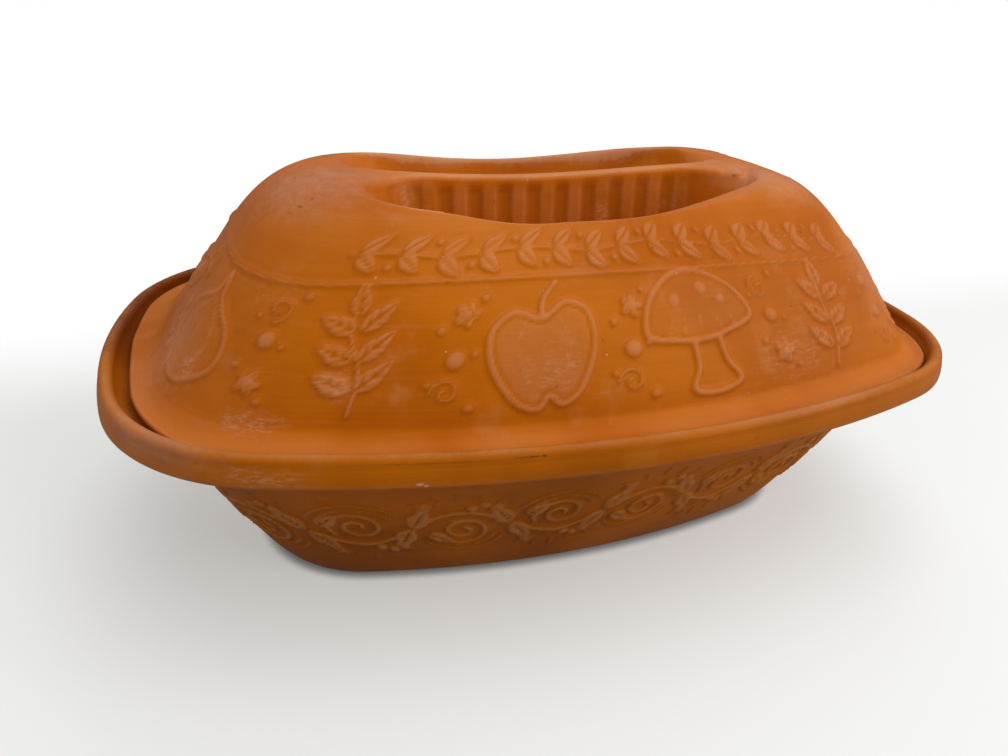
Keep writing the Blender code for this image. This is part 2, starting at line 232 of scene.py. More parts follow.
def spline(points, closed=False, per=7):
    points = np.array(points, float)
    if closed:
        control = np.concatenate([points[-1:], points, points[:2]])
    else:
        control = np.concatenate([2 * points[:1] - points[1:2], points, 2 * points[-1:] - points[-2:-1]])
    steps = np.linspace(0, 1, per, endpoint=False)[:, None]
    out = []
    for before, here, there, after in zip(control, control[1:], control[2:], control[3:]):
        slope = there - before
        bend = 2 * before - 5 * here + 4 * there - after
        twist = 3 * here - before - 3 * there + after
        out.append(0.5 * (2 * here + slope * steps + bend * steps ** 2 + twist * steps ** 3))
    last = points[:1] if closed else points[-1:]
    return np.concatenate(out + [last])


def placed(points, at, size=1.0, turn=0.0, flip=False):
    points = np.array(points, float) * size
    if flip:
        points = points * (-1, 1)
    c, s = math.cos(math.radians(turn)), math.sin(math.radians(turn))
    return points @ np.array([[c, s], [-s, c]]) + at


def nearBy(canvas, points, reach):
    # The wall's points close to a stroke, with the stroke's distance from each
    middle = (points.min(0) + points.max(0)) / 2
    room = (points.max(0) - points.min(0)) / 2 + reach
    along = (canvas["along"] - middle[0] + canvas["around"] / 2) % canvas["around"] - canvas["around"] / 2
    picked = np.nonzero((np.abs(along) < room[0]) & (np.abs(canvas["up"] - middle[1]) < room[1]))
    return picked, np.stack([along[picked] + middle[0], canvas["up"][picked]], 1)


def distanceTo(spots, points):
    best = np.full(len(spots), 1e9)
    for start, end in zip(points[:-1], points[1:]):
        run = end - start
        share = np.clip(((spots - start) @ run) / max(run @ run, 1e-9), 0, 1)
        best = np.minimum(best, np.sum((spots - start - share[:, None] * run) ** 2, 1))
    return np.sqrt(best)


def within(spots, points):
    inside = np.zeros(len(spots), bool)
    for (x0, y0), (x1, y1) in zip(points, np.roll(points, -1, axis=0)):
        if y0 != y1:
            crossed = (y0 > spots[:, 1]) != (y1 > spots[:, 1])
            inside ^= crossed & (spots[:, 0] < x0 + (x1 - x0) * (spots[:, 1] - y0) / (y1 - y0))
    return inside


def press(canvas, picked, height):
    canvas["height"][picked] = np.maximum(canvas["height"][picked], height)


def line(canvas, points, width=4.0, height=0.75):
    picked, spots = nearBy(canvas, points, width)
    share = distanceTo(spots, points) / (width / 2)
    press(canvas, picked, height * (1 - smoothStep(share)))


def dot(canvas, at, radius, height=0.9):
    at = np.array(at, float)
    picked, spots = nearBy(canvas, at[None], radius + 1)
    share = np.sqrt(np.sum((spots - at) ** 2, 1)) / radius
    press(canvas, picked, height * np.sqrt(np.clip(1 - share ** 2, 0, 1)))


def swell(canvas, points, height=0.45, edge=2.6):
    # A raised field with soft borders inside a closed outline
    picked, spots = nearBy(canvas, points, 2)
    inside = within(spots, points)
    share = np.where(inside, distanceTo(spots, np.concatenate([points, points[:1]])), 0) / edge
    press(canvas, picked, height * smoothStep(share))


def groove(canvas, points, width=1.6, depth=0.4):
    picked, spots = nearBy(canvas, points, width)
    share = distanceTo(spots, points) / (width / 2)
    cut = depth * (1 - smoothStep(share))
    canvas["height"][picked] = np.maximum(canvas["height"][picked] - cut, 0)


def leaf(canvas, at, turn, length, width, veins=2, height=0.7):
    low, high = length * 0.3, length * 0.65
    wide, narrow = width * 0.5, width * 0.42
    edge = [(0, 0), (low, wide), (high, narrow), (length, 0), (high, -narrow), (low, -wide)]
    swell(canvas, placed(spline(edge, closed=True), at, turn=turn), height, 1.3)
    groove(canvas, placed([(0, 0), (length * 0.86, 0)], at, turn=turn), 1.7, height * 0.6)
    for vein in range(veins):
        start = length * (0.22 + 0.5 * vein / max(veins, 1))
        for side in (-1, 1):
            tip = (start + length * 0.18, side * width * 0.34)
            groove(canvas, placed([(start, 0), tip], at, turn=turn), 1.5, height * 0.45)


def curl(canvas, at, turn, radius, turns=1.4, flip=False, width=2.6, height=0.8):
    angle = np.linspace(0, turns * 2 * math.pi, int(16 * turns) + 2)
    reach = radius * (1 - 0.82 * angle / angle[-1])
    points = np.stack([reach * np.cos(angle), reach * np.sin(angle)], 1)
    line(canvas, placed(points, at, turn=turn, flip=flip), width, height)


# A motif is drawn about its own middle; its pose is its place, its size and its turn

def curved(points, pose, closed=False):
    return placed(spline(points, closed), *pose)


def spotAt(pose, x, y):
    return placed([(x, y)], *pose)[0]


def filled(canvas, points, pose, height, width=4.0):
    outline = curved(points, pose, closed=True)
    swell(canvas, outline, height)
    line(canvas, outline, width)


def mushroom(canvas, pose):
    cap = [(-17, 2), (-14, 11), (-5, 17), (5, 17), (14, 11), (17, 2), (8, -1), (0, -2), (-8, -1)]
    stem = [(-4, -2), (-4.5, -9), (-7, -15), (0, -17), (7, -15), (4.5, -9), (4, -2)]
    filled(canvas, cap, pose, 0.4)
    line(canvas, curved(stem, pose))
    for x in (-11, -6, 0, 6, 11):
        line(canvas, placed([(x, 0.5), (x * 0.8, 4.5)], *pose), 1.8, 0.6)
    for x, y, radius in ((-6, 10, 2.0), (4, 12, 2.4), (9, 8, 1.6)):
        dot(canvas, spotAt(pose, x, y), radius * pose[1], 0.8)


def wheatEar(canvas, pose):
    _, size, turn = pose
    line(canvas, curved([(-2, -17), (0, -6), (0, 4), (1, 15)], pose), 2.4)
    for grain in range(6):
        for side in (-1, 1):
            start = spotAt(pose, 0, -5 + 3.6 * grain)
            leaf(canvas, start, turn + 90 - side * 38, 7.5 * size, 4.6 * size, 0, 0.85)
    for side in (-1, 0, 1):
        line(canvas, placed([(0, 15), (side * 4.5, 21)], *pose), 1.4, 0.6)


def carrot(canvas, pose):
    _, size, turn = pose
    filled(canvas, [(0, -18), (4, -8), (7, 3), (4.5, 8), (0, 8.5), (-4.5, 8), (-7, 3), (-4, -8)], pose, 0.5)
    for y, side in ((-9, 1), (-5, -1), (-1, 1), (3, -1)):
        line(canvas, placed([(side * 5, y), (side * 0.5, y + 0.6)], *pose), 1.6, 0.85)
    for x, lean in ((-6, 26), (0, 0), (6, -26)):
        leaf(canvas, spotAt(pose, x * 0.25, 8.5), turn + 90 + lean, 11 * size, 5 * size, 2)


def garlic(canvas, pose):
    bulb = [(0, 16), (2.5, 9), (12, 2), (14, -7), (7, -14), (0, -15.5),
            (-7, -14), (-14, -7), (-12, 2), (-2.5, 9)]
    filled(canvas, bulb, pose, 0.4)
    for x in (-6.5, 6.5):
        line(canvas, curved([(x * 0.2, 8), (x * 1.1, -1), (x * 1.1, -8), (x * 0.2, -14)], pose), 2.0, 0.7)
    line(canvas, placed([(0, 8), (0, -14)], *pose), 1.8, 0.6)


def grapes(canvas, pose):
    _, size, turn = pose
    for row, count in enumerate((4, 5, 4, 3, 2, 1)):
        for berry in range(count):
            dot(canvas, spotAt(pose, (berry - (count - 1) / 2) * 5.6, 5.5 - row * 4.7), 2.9 * size, 1.0)
    line(canvas, curved([(0, 6), (1, 12), (4, 17)], pose), 2.6)
    leaf(canvas, spotAt(pose, 0, 10), turn + 168, 13 * size, 9 * size)
    curl(canvas, spotAt(pose, 9, 13), turn + 150, 4.2 * size)


def pepper(canvas, pose):
    fruit = [(0, 7), (7, 10), (13, 6), (13, -3), (8, -13), (3, -16), (0, -13),
             (-3, -16), (-8, -13), (-13, -3), (-13, 6), (-7, 10)]
    filled(canvas, fruit, pose, 0.5)
    for x in (-4.5, 4.5):
        line(canvas, curved([(x, 7), (x * 1.5, 0), (x, -9)], pose), 2.0, 0.7)
    line(canvas, curved([(0, 7), (1, 12), (5, 16)], pose), 3.2, 0.9)


def peaPod(canvas, pose):
    _, size, turn = pose
    pod = [(-21, 5), (-12, -3), (0, -6.5), (12, -3), (21, 5), (11, 6), (0, 4), (-11, 6)]
    filled(canvas, pod, pose, 0.35, 2.6)
    for x, y in ((-10, 1.6), (-3.5, -0.8), (3.5, -0.8), (10, 1.6)):
        dot(canvas, spotAt(pose, x, y), 2.9 * size, 1.0)
    curl(canvas, spotAt(pose, 24, 8), turn + 200, 3.6 * size)


def sprig(canvas, pose):
    _, size, turn = pose
    line(canvas, curved([(0, -17), (1.5, -6), (-1, 5), (0, 12)], pose), 2.4)
    for pair in range(3):
        for side in (-1, 1):
            leaf(canvas, spotAt(pose, 0.3, -11 + pair * 8), turn + 90 - side * 52, 12 * size, 6 * size, 2)
    leaf(canvas, spotAt(pose, 0, 9), turn + 90, 11 * size, 6 * size, 2)


def flower(canvas, at, radius):
    for petal in range(5):
        leaf(canvas, at, petal * 72, radius, radius * 0.62, 0, 0.85)
    dot(canvas, at, radius * 0.26, 1.0)


lidOrnament = {
    "motifs": (
        (mushroom, 6), (sprig, -9), (garlic, 4), (wheatEar, 14), (pepper, -5), (grapes, 0), (carrot, -16),
        (mushroom, 8), (wheatEar, -12), (peaPod, 10), (garlic, -4), (sprig, 12), (pepper, 9),
    ),
    "middle": 24.5,
    "size": 1.24,
    "firstAt": 0.42,
    "lift": 11,
    "berries": ((5.5, 0.15), (-6, -0.55), (6.5, 1.7), (-6.5, 1.0), (6, -1.5)),
    "lineUp": 47.5,
    "twigUp": 57.5,
    "twigHalf": 104,
    "twigWave": (1.2, 8.9),
    "twigLeaves": 15,
    "firstLeaf": -102,
    "leafStep": 14.2,
}


def carveLid(canvas):
    shape = lidOrnament
    around = canvas["around"]
    middle = shape["middle"]
    pitch = around / len(shape["motifs"])
    for place, (motif, lean) in enumerate(shape["motifs"]):
        motif(canvas, (np.array([pitch * (place + shape["firstAt"]), middle]), shape["size"], lean))
        # Small filling between one motif and the next
        x = pitch * place - 3
        lift = shape["lift"] if place % 2 else -shape["lift"]
        dot(canvas, (x, middle + lift * 0.3), 3.4, 0.7)
        flower(canvas, (x + 1, middle - lift), 6.0)
        curl(canvas, (x - 1, middle + lift * 1.25), 90 * place, 4.6, 1.2, place % 2 == 0, 2.2, 0.6)
        for berry, (dx, dy) in enumerate(shape["berries"]):
            dot(canvas, (x + dx, middle + lift * dy), 1.5 + 0.25 * (berry % 3), 0.55)
    line(canvas, np.array([(0.0, shape["lineUp"]), (around, shape["lineUp"])]), 2.8, 0.6)
    # Twigs of bay leaves over the front and over the back
    swing, length = shape["twigWave"]
    run = np.linspace(-shape["twigHalf"], shape["twigHalf"], 57)
    for across in (0.0, around / 2):
        line(canvas, np.stack([run + across, shape["twigUp"] + swing * np.sin(run / length)], 1), 2.6, 0.6)
        for place in range(shape["twigLeaves"]):
            x = shape["firstLeaf"] + place * shape["leafStep"]
            for side in (-1, 1):
                start = (x + across, shape["twigUp"] + swing * math.sin(x / length))
                leaf(canvas, start, side * 40, 12.5, 6.8, 0, 0.65)
            dot(canvas, (x + across + 12.4, shape["twigUp"] + (4.6 if place % 2 else -4.6)), 1.7, 0.6)


dishOrnament = {"around": 760.0, "waves": 10, "middle": 47.0, "wave": 10.5}


def carveDish(canvas):
    # A vine with scrolls in its bends, leaves at its knots, and arcs below the rim
    around = canvas["around"]
    middle = dishOrnament["middle"]
    pitch = around / dishOrnament["waves"]
    run = np.linspace(0, around, 24 * dishOrnament["waves"] + 1)
    wave = middle + dishOrnament["wave"] * np.sin(run * 2 * math.pi / pitch)
    line(canvas, np.stack([run, wave], 1), 3.2, 1.0)
    for lower in (2.8, 5.2):
        line(canvas, np.stack([run, wave - lower], 1), 1.9, 0.55)
    for bend in range(dishOrnament["waves"] * 2):
        side = 1 if bend % 2 == 0 else -1
        x = pitch * (0.25 + bend / 2)
        turn = 210 if side > 0 else 30
        curl(canvas, (x, middle - side * 3), turn, 11.0, 1.6, side < 0, 2.8, 1.0)
        for radius in (14.5, 18.0):
            angle = np.radians(np.linspace(-58, 58, 13) - side * 90)
            arc = np.stack([radius * np.cos(angle), radius * np.sin(angle)], 1) + (x, middle - side * 1)
            line(canvas, arc, 2.2, 0.75)
        knot = pitch * bend / 2
        for turn in (62 * side, 180 + 62 * side):
            leaf(canvas, (knot, middle), turn, 17, 9, 3, 1.0)
        leaf(canvas, (knot + 5, middle - side * 4), -40 * side, 13, 8, 2, 0.9)
        flower(canvas, (x - 12, middle + side * 16), 5.5)
        for ray in (-40, -20, 0, 20, 40):
            reach = math.radians(ray + 90 * side)
            start = (x + 20 * math.cos(reach), middle + 20 * math.sin(reach))
            tip = (x + 25 * math.cos(reach), middle + 24 * math.sin(reach))
            line(canvas, np.array([start, tip]), 1.8, 0.6)
        for berry in (-1, 0, 1):
            dot(canvas, (x + 9 + berry * 4.6, middle + side * (15.5 - abs(berry) * 2)), 2.3, 1.0)


def pressOrnament(rows, canvas, depth):
    # Moves the wall's points outwards by the ornament drawn on the canvas
    around = np.roll(rows, -1, axis=1) - np.roll(rows, 1, axis=1)
    upwards = np.gradient(rows, axis=0)
    normal = np.cross(around, upwards)
    normal /= np.maximum(np.linalg.norm(normal, axis=2, keepdims=True), 1e-12)
    return rows + normal * (canvas["height"] * depth * mm)[..., None]


# Dish

dishShape = {
    "columns": 760,
    "insideColumns": 200,
    "rim": (0.4340, 0.2000, 0.0690),
    "bandHeight": 0.0107,
    "bandRound": 0.0018,
    "bandBulge": 0.0003,
    "lipLean": 0.0010,
    "lipThickness": 0.0050,
    "lipDraft": 0.0012,
    "crestRound": 0.0030,
    "seatDepth": 0.0076,
    "channelWidth": 0.0080,
    "mouthRound": 0.0015,
    "undersideDrop": 0.0075,
    "undersideBend": (0.06, 0.30),
    "endOverhang": 0.0152,
    "sideOverhang": 0.0176,
    "foot": (0.1250, 0.0595, 0.4000, 0.1700, 0.0470),
    "footRound": 0.0036,
    "footLean": 60,
    "wall": 0.0085,
    "floor": 0.0090,
    "floorRound": 0.0100,
    "wallAcross": (0.27, 0.55),
    "wallUp": (0.20, 0.62),
    "wallRows": 72,
    "insideRows": 18,
    "floorRibs": (-0.032, -0.016, 0.0, 0.016, 0.032),
    "floorRibHalf": (0.075, 0.003),
    "floorRibHeight": 0.0025,
    "floorSections": 45,
    "carving": 1.2,
    "cornerSoft": 0.010,
    "endCove": 0.0018,
    "footGap": (0.0008, 0.0040),
    "bandWear": 0.25,
    # The lip's crest is lightened: wear with a painted highlight streak
    "crestHighlightAndWear": 0.6,
    # Soil and painted shade darken the lip's inner wall and the channel, most at the back
    "lipSoilAndShade": 0.15,
    "channelSoilAndShade": 0.5,
    "backSoilAndShade": 1.2,
    "backFrom": (0.030, 0.035),
    "backRun": 0.045,
    "floorInset": (0.99, 0.985),
}


def dishWall():
    shape = dishShape
    rimOval = oval((dishHigh.x - dishLow.x) / 2, (dishHigh.y - dishLow.y) / 2, *shape["rim"])
    bandBottom = dishHigh.z - shape["bandHeight"]
    wallTop = bandBottom - shape["undersideDrop"]
    top = rimOval - (shape["endOverhang"] + shape["sideOverhang"]) / 2
    top[0] = rimOval[0] - shape["endOverhang"]
    top[1] = rimOval[1] - shape["sideOverhang"]
    top[4] += shape["cornerSoft"]
    return rimOval, bandBottom, wallTop, top


def makeDish(material):
    shape = dishShape
    columns = shape["columns"]
    rimOval, bandBottom, wallTop, topOval = dishWall()
    footOval = oval(*shape["foot"])
    lean = math.radians(shape["footLean"])
    wallBottom = shape["footRound"] * (1 - math.cos(lean))
    shell = newShell()

    # Rounded edge of the foot, and the wall up to the rim's underside
    gap, inset = shape["footGap"]
    standing = footOval - shape["footRound"] * math.sin(lean) - inset
    rows = [levelRow(standing, gap, columns)]
    for turn in np.linspace(0, lean, 7)[:-1]:
        across = shape["footRound"] * (math.sin(lean) - math.sin(turn))
        height = max(shape["footRound"] * (1 - math.cos(turn)), gap * (1 + 0.1 * turn))
        rows.append(levelRow(footOval - across, height, columns))
    plain = len(rows)
    fine = np.linspace(0, 1, 400)
    run = (topOval[0] + topOval[1] - footOval[0] - footOval[1]) / 2
    rise = wallTop - wallBottom
    spreads = bezier(fine, shape["wallAcross"])
    climbs = rise * bezier(fine, shape["wallUp"])
    for share in evenly(run * spreads, climbs, shape["wallRows"]):
        level = footOval + (topOval - footOval) * bezier(share, shape["wallAcross"])
        rows.append(levelRow(level, wallBottom + rise * bezier(share, shape["wallUp"]), columns))
    bandRound = shape["bandRound"]
    bandFoot = rimOval - bandRound
    bendAcross, bendUp = shape["undersideBend"]
    for step in np.linspace(0, 1, 9)[1:-1]:
        across = 2 * bendAcross * step * (1 - step) + step ** 2
        up = 2 * bendUp * step * (1 - step) + step ** 2
        level = topOval + (bandFoot - topOval) * across
        rows.append(levelRow(level, wallTop + shape["undersideDrop"] * up, columns))
    rows = np.array(rows)

    # Ornament
    climbed = np.cumsum(np.linalg.norm(np.diff(rows[:, columns * 3 // 4], axis=0), axis=1))
    length = np.concatenate([[0], climbed]) / mm
    around = dishOrnament["around"]
    along = (np.arange(columns) / columns - 0.75) * around
    canvas = newCanvas(np.tile(along, (len(rows), 1)), np.tile(length[:, None], (1, columns)), around)
    carveDish(canvas)
    canvas["height"][:plain] = 0
    clean = np.zeros_like(canvas["height"])
    wallRows = pressOrnament(rows, canvas, shape["carving"])
    wallIndex = addRows(shell, wallRows, np.stack([canvas["height"], clean, clean], -1))
    skin(shell, wallIndex)

    # Band, lip and crest; the band's foot is rubbed, the lip's crest is rubbed and lightened with a painted
    # highlight, and the lip's inner wall and the channel are darkened with soil and painted shade, most at
    # the back
    rows, marks = [], []
    around = ring(rimOval, columns)
    # How far round the rim the darker soil and painted shade of the back reach
    backFrom = np.where(around[:, 0] < 0, *shape["backFrom"])
    atBack = smoothStep((around[:, 1] + backFrom) / shape["backRun"])

    def addLevel(across, height, wearAndHighlight, soilAndShade, atBackSoilAndShade=0.0, drawnIn=0.0):
        level = rimOval - across
        level[0] -= drawnIn
        rows.append(levelRow(level, height, columns))
        darker = soilAndShade + (atBackSoilAndShade - soilAndShade) * atBack
        marks.append(np.stack([np.zeros(columns), np.full(columns, wearAndHighlight), darker], -1))

    for turn in np.radians(np.linspace(0, 90, 5)):
        height = bandBottom + bandRound * (1 - math.cos(turn))
        addLevel(bandRound * (1 - math.sin(turn)), height, shape["bandWear"], 0.0)
    shoulder = dishHigh.z - shape["crestRound"]
    low = bandBottom + shape["bandRound"]
    for step in np.linspace(0, 1, 7)[1:-1]:
        across = shape["lipLean"] * step - shape["bandBulge"] * 4 * step * (1 - step)
        addLevel(max(across, 0.0), low + (shoulder - low) * step, 0.0, 0.0)
    middle = shape["lipLean"] + shape["lipThickness"] / 2
    lipSoilAndShade, backSoilAndShade = shape["lipSoilAndShade"], shape["backSoilAndShade"]
    for turn in np.radians(np.linspace(0, 180, 13)):
        across = middle - shape["lipThickness"] / 2 * math.cos(turn)
        inward = smoothStep((math.degrees(turn) - 90) / 60)
        sooner = smoothStep((math.degrees(turn) - 35) / 55)
        wearAndHighlight = shape["crestHighlightAndWear"] * max(0.0, math.sin(turn)) ** 6
        height = shoulder + shape["crestRound"] * math.sin(turn)
        addLevel(across, height, wearAndHighlight, lipSoilAndShade * inward, backSoilAndShade * sooner)
    seat = dishHigh.z - shape["seatDepth"]
    inner = shape["lipLean"] + shape["lipThickness"]
    for step in (0.35, 0.7, 0.9, 1.0):
        eased = shape["lipDraft"] * step + 0.0005 * step ** 6
        height = shoulder + (seat + 0.0002 - shoulder) * step
        soilAndShade = lipSoilAndShade + (shape["channelSoilAndShade"] - lipSoilAndShade) * step
        addLevel(inner + eased, height, 0.0, soilAndShade, backSoilAndShade, shape["endCove"] * step ** 1.7)
    inner += shape["lipDraft"]
    for across in (0.0012, shape["channelWidth"] * 0.5, shape["channelWidth"]):
        addLevel(inner + across, seat, 0.0, shape["channelSoilAndShade"], backSoilAndShade, shape["endCove"])
    rimIndex = addRows(shell, np.array(rows), np.array(marks))
    skin(shell, rimIndex)
    skin(shell, np.stack([wallIndex[-1], rimIndex[0]]))

    # Inside: mouth, wall and the round into the floor
    fewer = shape["insideColumns"]
    heights = wallBottom + climbs
    slope = (spreads[-1] - spreads[-2]) / (heights[-1] - heights[-2])
    level = shape["wall"] * math.hypot(topOval[0] - footOval[0], rise) / rise

    def insideAt(height):
        spread = np.interp(height, heights, spreads) + slope * max(height - wallTop, 0.0)
        return footOval + (topOval - footOval) * spread - level

    mouthRound, floorRound = shape["mouthRound"], shape["floorRound"]
    mouthHeight = seat - mouthRound
    rows = [levelRow(insideAt(mouthHeight) + mouthRound, seat, fewer)]
    for turn in np.radians((30, 60)):
        mouth = insideAt(mouthHeight) + mouthRound * (1 - math.sin(turn))
        rows.append(levelRow(mouth, mouthHeight + mouthRound * math.cos(turn), fewer))
    lowest = shape["floor"] + floorRound
    for height in np.linspace(mouthHeight, lowest, shape["insideRows"]):
        rows.append(levelRow(insideAt(height), height, fewer))
    for turn in np.radians((15, 30, 45, 60, 75, 90)):
        corner = insideAt(lowest) - floorRound * (1 - math.cos(turn))
        rows.append(levelRow(corner, shape["floor"] + floorRound * (1 - math.sin(turn)), fewer))
    insideIndex = addRows(shell, rows)
    skin(shell, insideIndex)
    stitch(shell, rimIndex[-1], insideIndex[0])

    # Floor with its low ribs
    edge = rows[-1]
    skipped = 2
    picked = np.arange(fewer // 2 - skipped, skipped - 1, -1)
    across = np.linspace(-1, 1, shape["floorSections"])
    insetAlong, insetAcross = shape["floorInset"]
    x = np.repeat(edge[picked, 0][:, None], len(across), 1) * insetAlong
    y = edge[picked, 1][:, None] * across * insetAcross
    ribLength, ribWidth = shape["floorRibHalf"]
    ends = smoothStep((ribLength + 0.002 - np.abs(x)) / 0.004)
    z = np.full_like(x, shape["floor"])
    for rib in shape["floorRibs"]:
        z += shape["floorRibHeight"] * ends * smoothStep((ribWidth + 0.0015 - np.abs(y - rib)) / 0.003)
    border = weaveSheet(shell, np.stack([x, y, z], -1))
    stitch(shell, insideIndex[-1], startAt(shell, border, insideIndex[-1][0]))

    # Underside
    under = addRows(shell, [levelRow(standing, 0.0, columns)])
    skin(shell, np.stack([under[0], wallIndex[0]]))
    shell["faces"].append(under[0][::-1].tolist())

    piece = finishShell(shell, "dishBody", "dish", material)
    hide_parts("dish")
    return piece


# Lid

lidShape = {
    "columns": 760,
    "insideColumns": 180,
    "sideGap": 0.0010,
    "endGap": 0.0030,
    "flange": (0.4000, 0.0600),
    "flangeThickness": 0.0054,
    "flangeWidth": 0.0085,
    "endDraw": 0.0024,
    "flangeRound": 0.0013,
    "flangeLean": (0.0, 0.0012, 0.0012, 0.0, 0.0),
    "edgeRound": 0.0011,
    "edgeDrop": 0.0014,
    "endTrim": {"from": 0.1450, "right": 0.155, "left": -0.02, "leftSlant": -3.2,
                "leftLimits": (-0.04, 0.25), "rows": 11},
    "coveDepth": 0.0006,
    "coveRise": 0.0023,
    "wall": 0.0080,
    "crown": (0.0884, 0.0554, 0.2310, 0.0700, 0.0450),
    "crownRise": 0.0041,
    "frontSkew": {"middle": (0.0024, 0.000, 0.040), "leftEnd": (0.0062, 0.052, 0.034),
                  "right": (0.0060, 0.008, 0.055)},
    "shoulder": {"at": (0.087, 0.030), "reach": (0.015, 0.022), "rise": 0.0021,
                 "from": 0.030, "run": 0.020, "below": 0.0001, "soft": 0.0008},
    "dipDepth": 0.0085,
    "dipReach": 0.1043,
    "dipOffset": 0.0096,
    "domeInEnd": (0.437, 0.499),
    "domeInSide": (0.271, 0.991),
    "domeUp": (0.541, 0.973),
    "domeRows": 72,
    "crestRows": 4,
    "crestStep": 0.0005,
    "crestFrom": 0.70,
    "crestTo": 0.76,
    "crestWeights": (0.06, 0.12, 0.18, 0.28, 0.18, 0.12, 0.06),
    # The lid's front crest, the wells' rims and the rib's top are lightened: a painted highlight line with
    # some wear, fading towards the ends
    "crestHighlightAndWear": (0.3, 0.9, 1.0),
    "wellHighlightAndWear": 0.8,
    "highlightEnds": (0.086, 0.020),
    "wellDepth": 0.0200,
    "wellEdge": 0.0010,
    "wellEndReach": 0.0036,
    "wellFloor": (0.0500, 0.0360, 0.2310, 0.0700, 0.0240),
    "wellRamp": 0.667,
    "wellShort": (0.006, 0.009),
    "wellShortFrom": (0.040, 0.050),
    "wellFade": (0.0003, 0.0050),
    "wellFadeFrom": (0.042, 0.040),
    "wellClose": (0.078, 0.014),
    "ribHalf": 0.0039,
    "ribDraft": 0.0030,
    "ribLimits": (0.70, 0.86),
    "ribRound": (0.0016, 0.0030),
    "landFrom": (0.055, 0.068),
    "landRun": 0.034,
    "landHalf": 0.0150,
    "flutePlace": -0.0041,
    "flutePitch": 0.0121,
    "fluteRidge": 0.0022,
    "fluteReach": 0.0590,
    "fluteDepth": 0.0012,
    "fluteHeadroom": 0.0036,
    "fluteFade": 0.010,
    "fluteSlope": 0.0020,
    # The flutes' edges and flat ridges are lightened, wear with a painted highlight; the flank and the
    # hollows are darkened, soil with painted shade
    "fluteHighlightAndWear": (0.5, 0.22),
    "fluteSoilAndShade": (0.28, 0.22),
    # Soil and painted shade on the well's floor beside the rib, fading up its wall
    "wellSoilAndShade": 0.15,
    "stationStep": 0.00110,
    "wellPoints": 27,
    "flankPoints": 13,
    "topPoints": 5,
    "borderInset": 0.0007,
    "tipInset": 0.0012,
    "carving": 1.15,
    "innerTo": 0.62,
    "ceilingInset": (0.985, 0.975),
    "ceilingSoft": 0.004,
    # The part of the crown that is smoothed, the flutes that aren't,
    # and each pass: from which x, and how often
    "softAbove": 0.0405,
    "softReach": (0.106, 0.0590),
    "flutesKept": (0.067, 0.0085, 0.0600),
    "softPasses": ((0.0, 2), (0.070, 10), (0.077, 50)),
}


def dipAt(x):
    shape = lidShape
    along = np.minimum(np.abs(x + shape["dipOffset"]) / shape["dipReach"], 1.0)
    return shape["dipDepth"] * (1 + np.cos(np.pi * along)) / 2


def lidOvals():
    shape = lidShape
    rim = dishShape["rim"]
    lip = dishShape["lipLean"] + dishShape["lipThickness"] + dishShape["lipDraft"]
    halfLength = (dishHigh.x - dishLow.x) / 2 - lip - shape["endGap"]
    halfWidth = (dishHigh.y - dishLow.y) / 2 - lip - shape["sideGap"]
    flange = oval(halfLength, halfWidth, rim[0] - lip - shape["sideGap"], *shape["flange"])
    foot = flange - shape["flangeWidth"]
    foot[0] -= shape["endDraw"]
    return flange, foot, oval(*shape["crown"])


def domeLevel(share, wall=0.0):
    # The dome's oval at a share of its rise, its height before the crown's sag, and how far it has risen
    shape = lidShape
    _, foot, crown = lidOvals()
    low = shape["flangeThickness"] + shape["coveRise"]
    tall = lidTall - low

    def ends(part):
        return bezier(part, shape["domeInEnd"])

    level = foot + (crown - foot) * ends(share)
    level[1] = foot[1] + (crown[1] - foot[1]) * bezier(share, shape["domeInSide"])
    before = max(share - 0.01, 0.0)
    after = min(share + 0.01, 1.0)
    up = tall * (bezier(after, shape["domeUp"]) - bezier(before, shape["domeUp"]))
    narrower = (foot[0] - crown[0]) * (ends(after) - ends(before))
    slant = math.hypot(up, narrower)
    rise = bezier(share, shape["domeUp"])
    return level - wall * up / slant, low + tall * rise - wall * narrower / slant, rise


def domeRow(share, columns, wall=0.0):
    level, height, rise = domeLevel(share, wall)
    flat = ring(level, columns)
    return np.column_stack([flat, height - dipAt(flat[:, 0]) * rise ** 2])


def wellLevel(turn, wall=0.0):
    shape = lidShape
    crown = lidOvals()[2]
    edge = crown.copy()
    edge[0] += shape["wellEndReach"]
    edge[1] -= shape["wellEdge"]
    floor = oval(*shape["wellFloor"])
    steep = math.sin(turn)
    risen = 1 - math.cos(turn)
    level = floor + (edge - floor) * (steep + (risen - steep) * shape["wellRamp"])
    level[1] = floor[1] + (edge[1] - floor[1]) * steep
    low = lidTall - shape["dipDepth"] - shape["wellDepth"]
    return level + wall * steep, low + shape["wellDepth"] * risen - wall * math.cos(turn)


def wellLevels(wall=0.0):
    shape = lidShape
    levels = [wellLevel(turn, wall) for turn in np.linspace(0, math.pi / 2, 41)]
    top = levels[-1][0].copy()
    top[0] += shape["dipDepth"]
    return levels + [(top, lidTall + 0.002 + wall)]


def shortened(x):
    # The wells' ends are drawn in, more at the right, and fade into the crown
    left, right = lidShape["wellShort"]
    start, run = lidShape["wellShortFrom"]
    reach = smoothStep((np.abs(x) - start) / run)
    return x + np.where(x < 0, -left, right) * reach


def frontShift(x, y):
    # The front well reaches further out on the left and less far on the right than its mirror image
    parts = {}
    for name, (far, start, run) in lidShape["frontSkew"].items():
        parts[name] = far * smoothStep(((x if name == "right" else -x) - start) / run)
    wider = (parts["middle"] + parts["leftEnd"]) * smoothStep(np.abs(y) / 0.012)
    return wider - parts["right"] * smoothStep(np.abs(y) / 0.020)


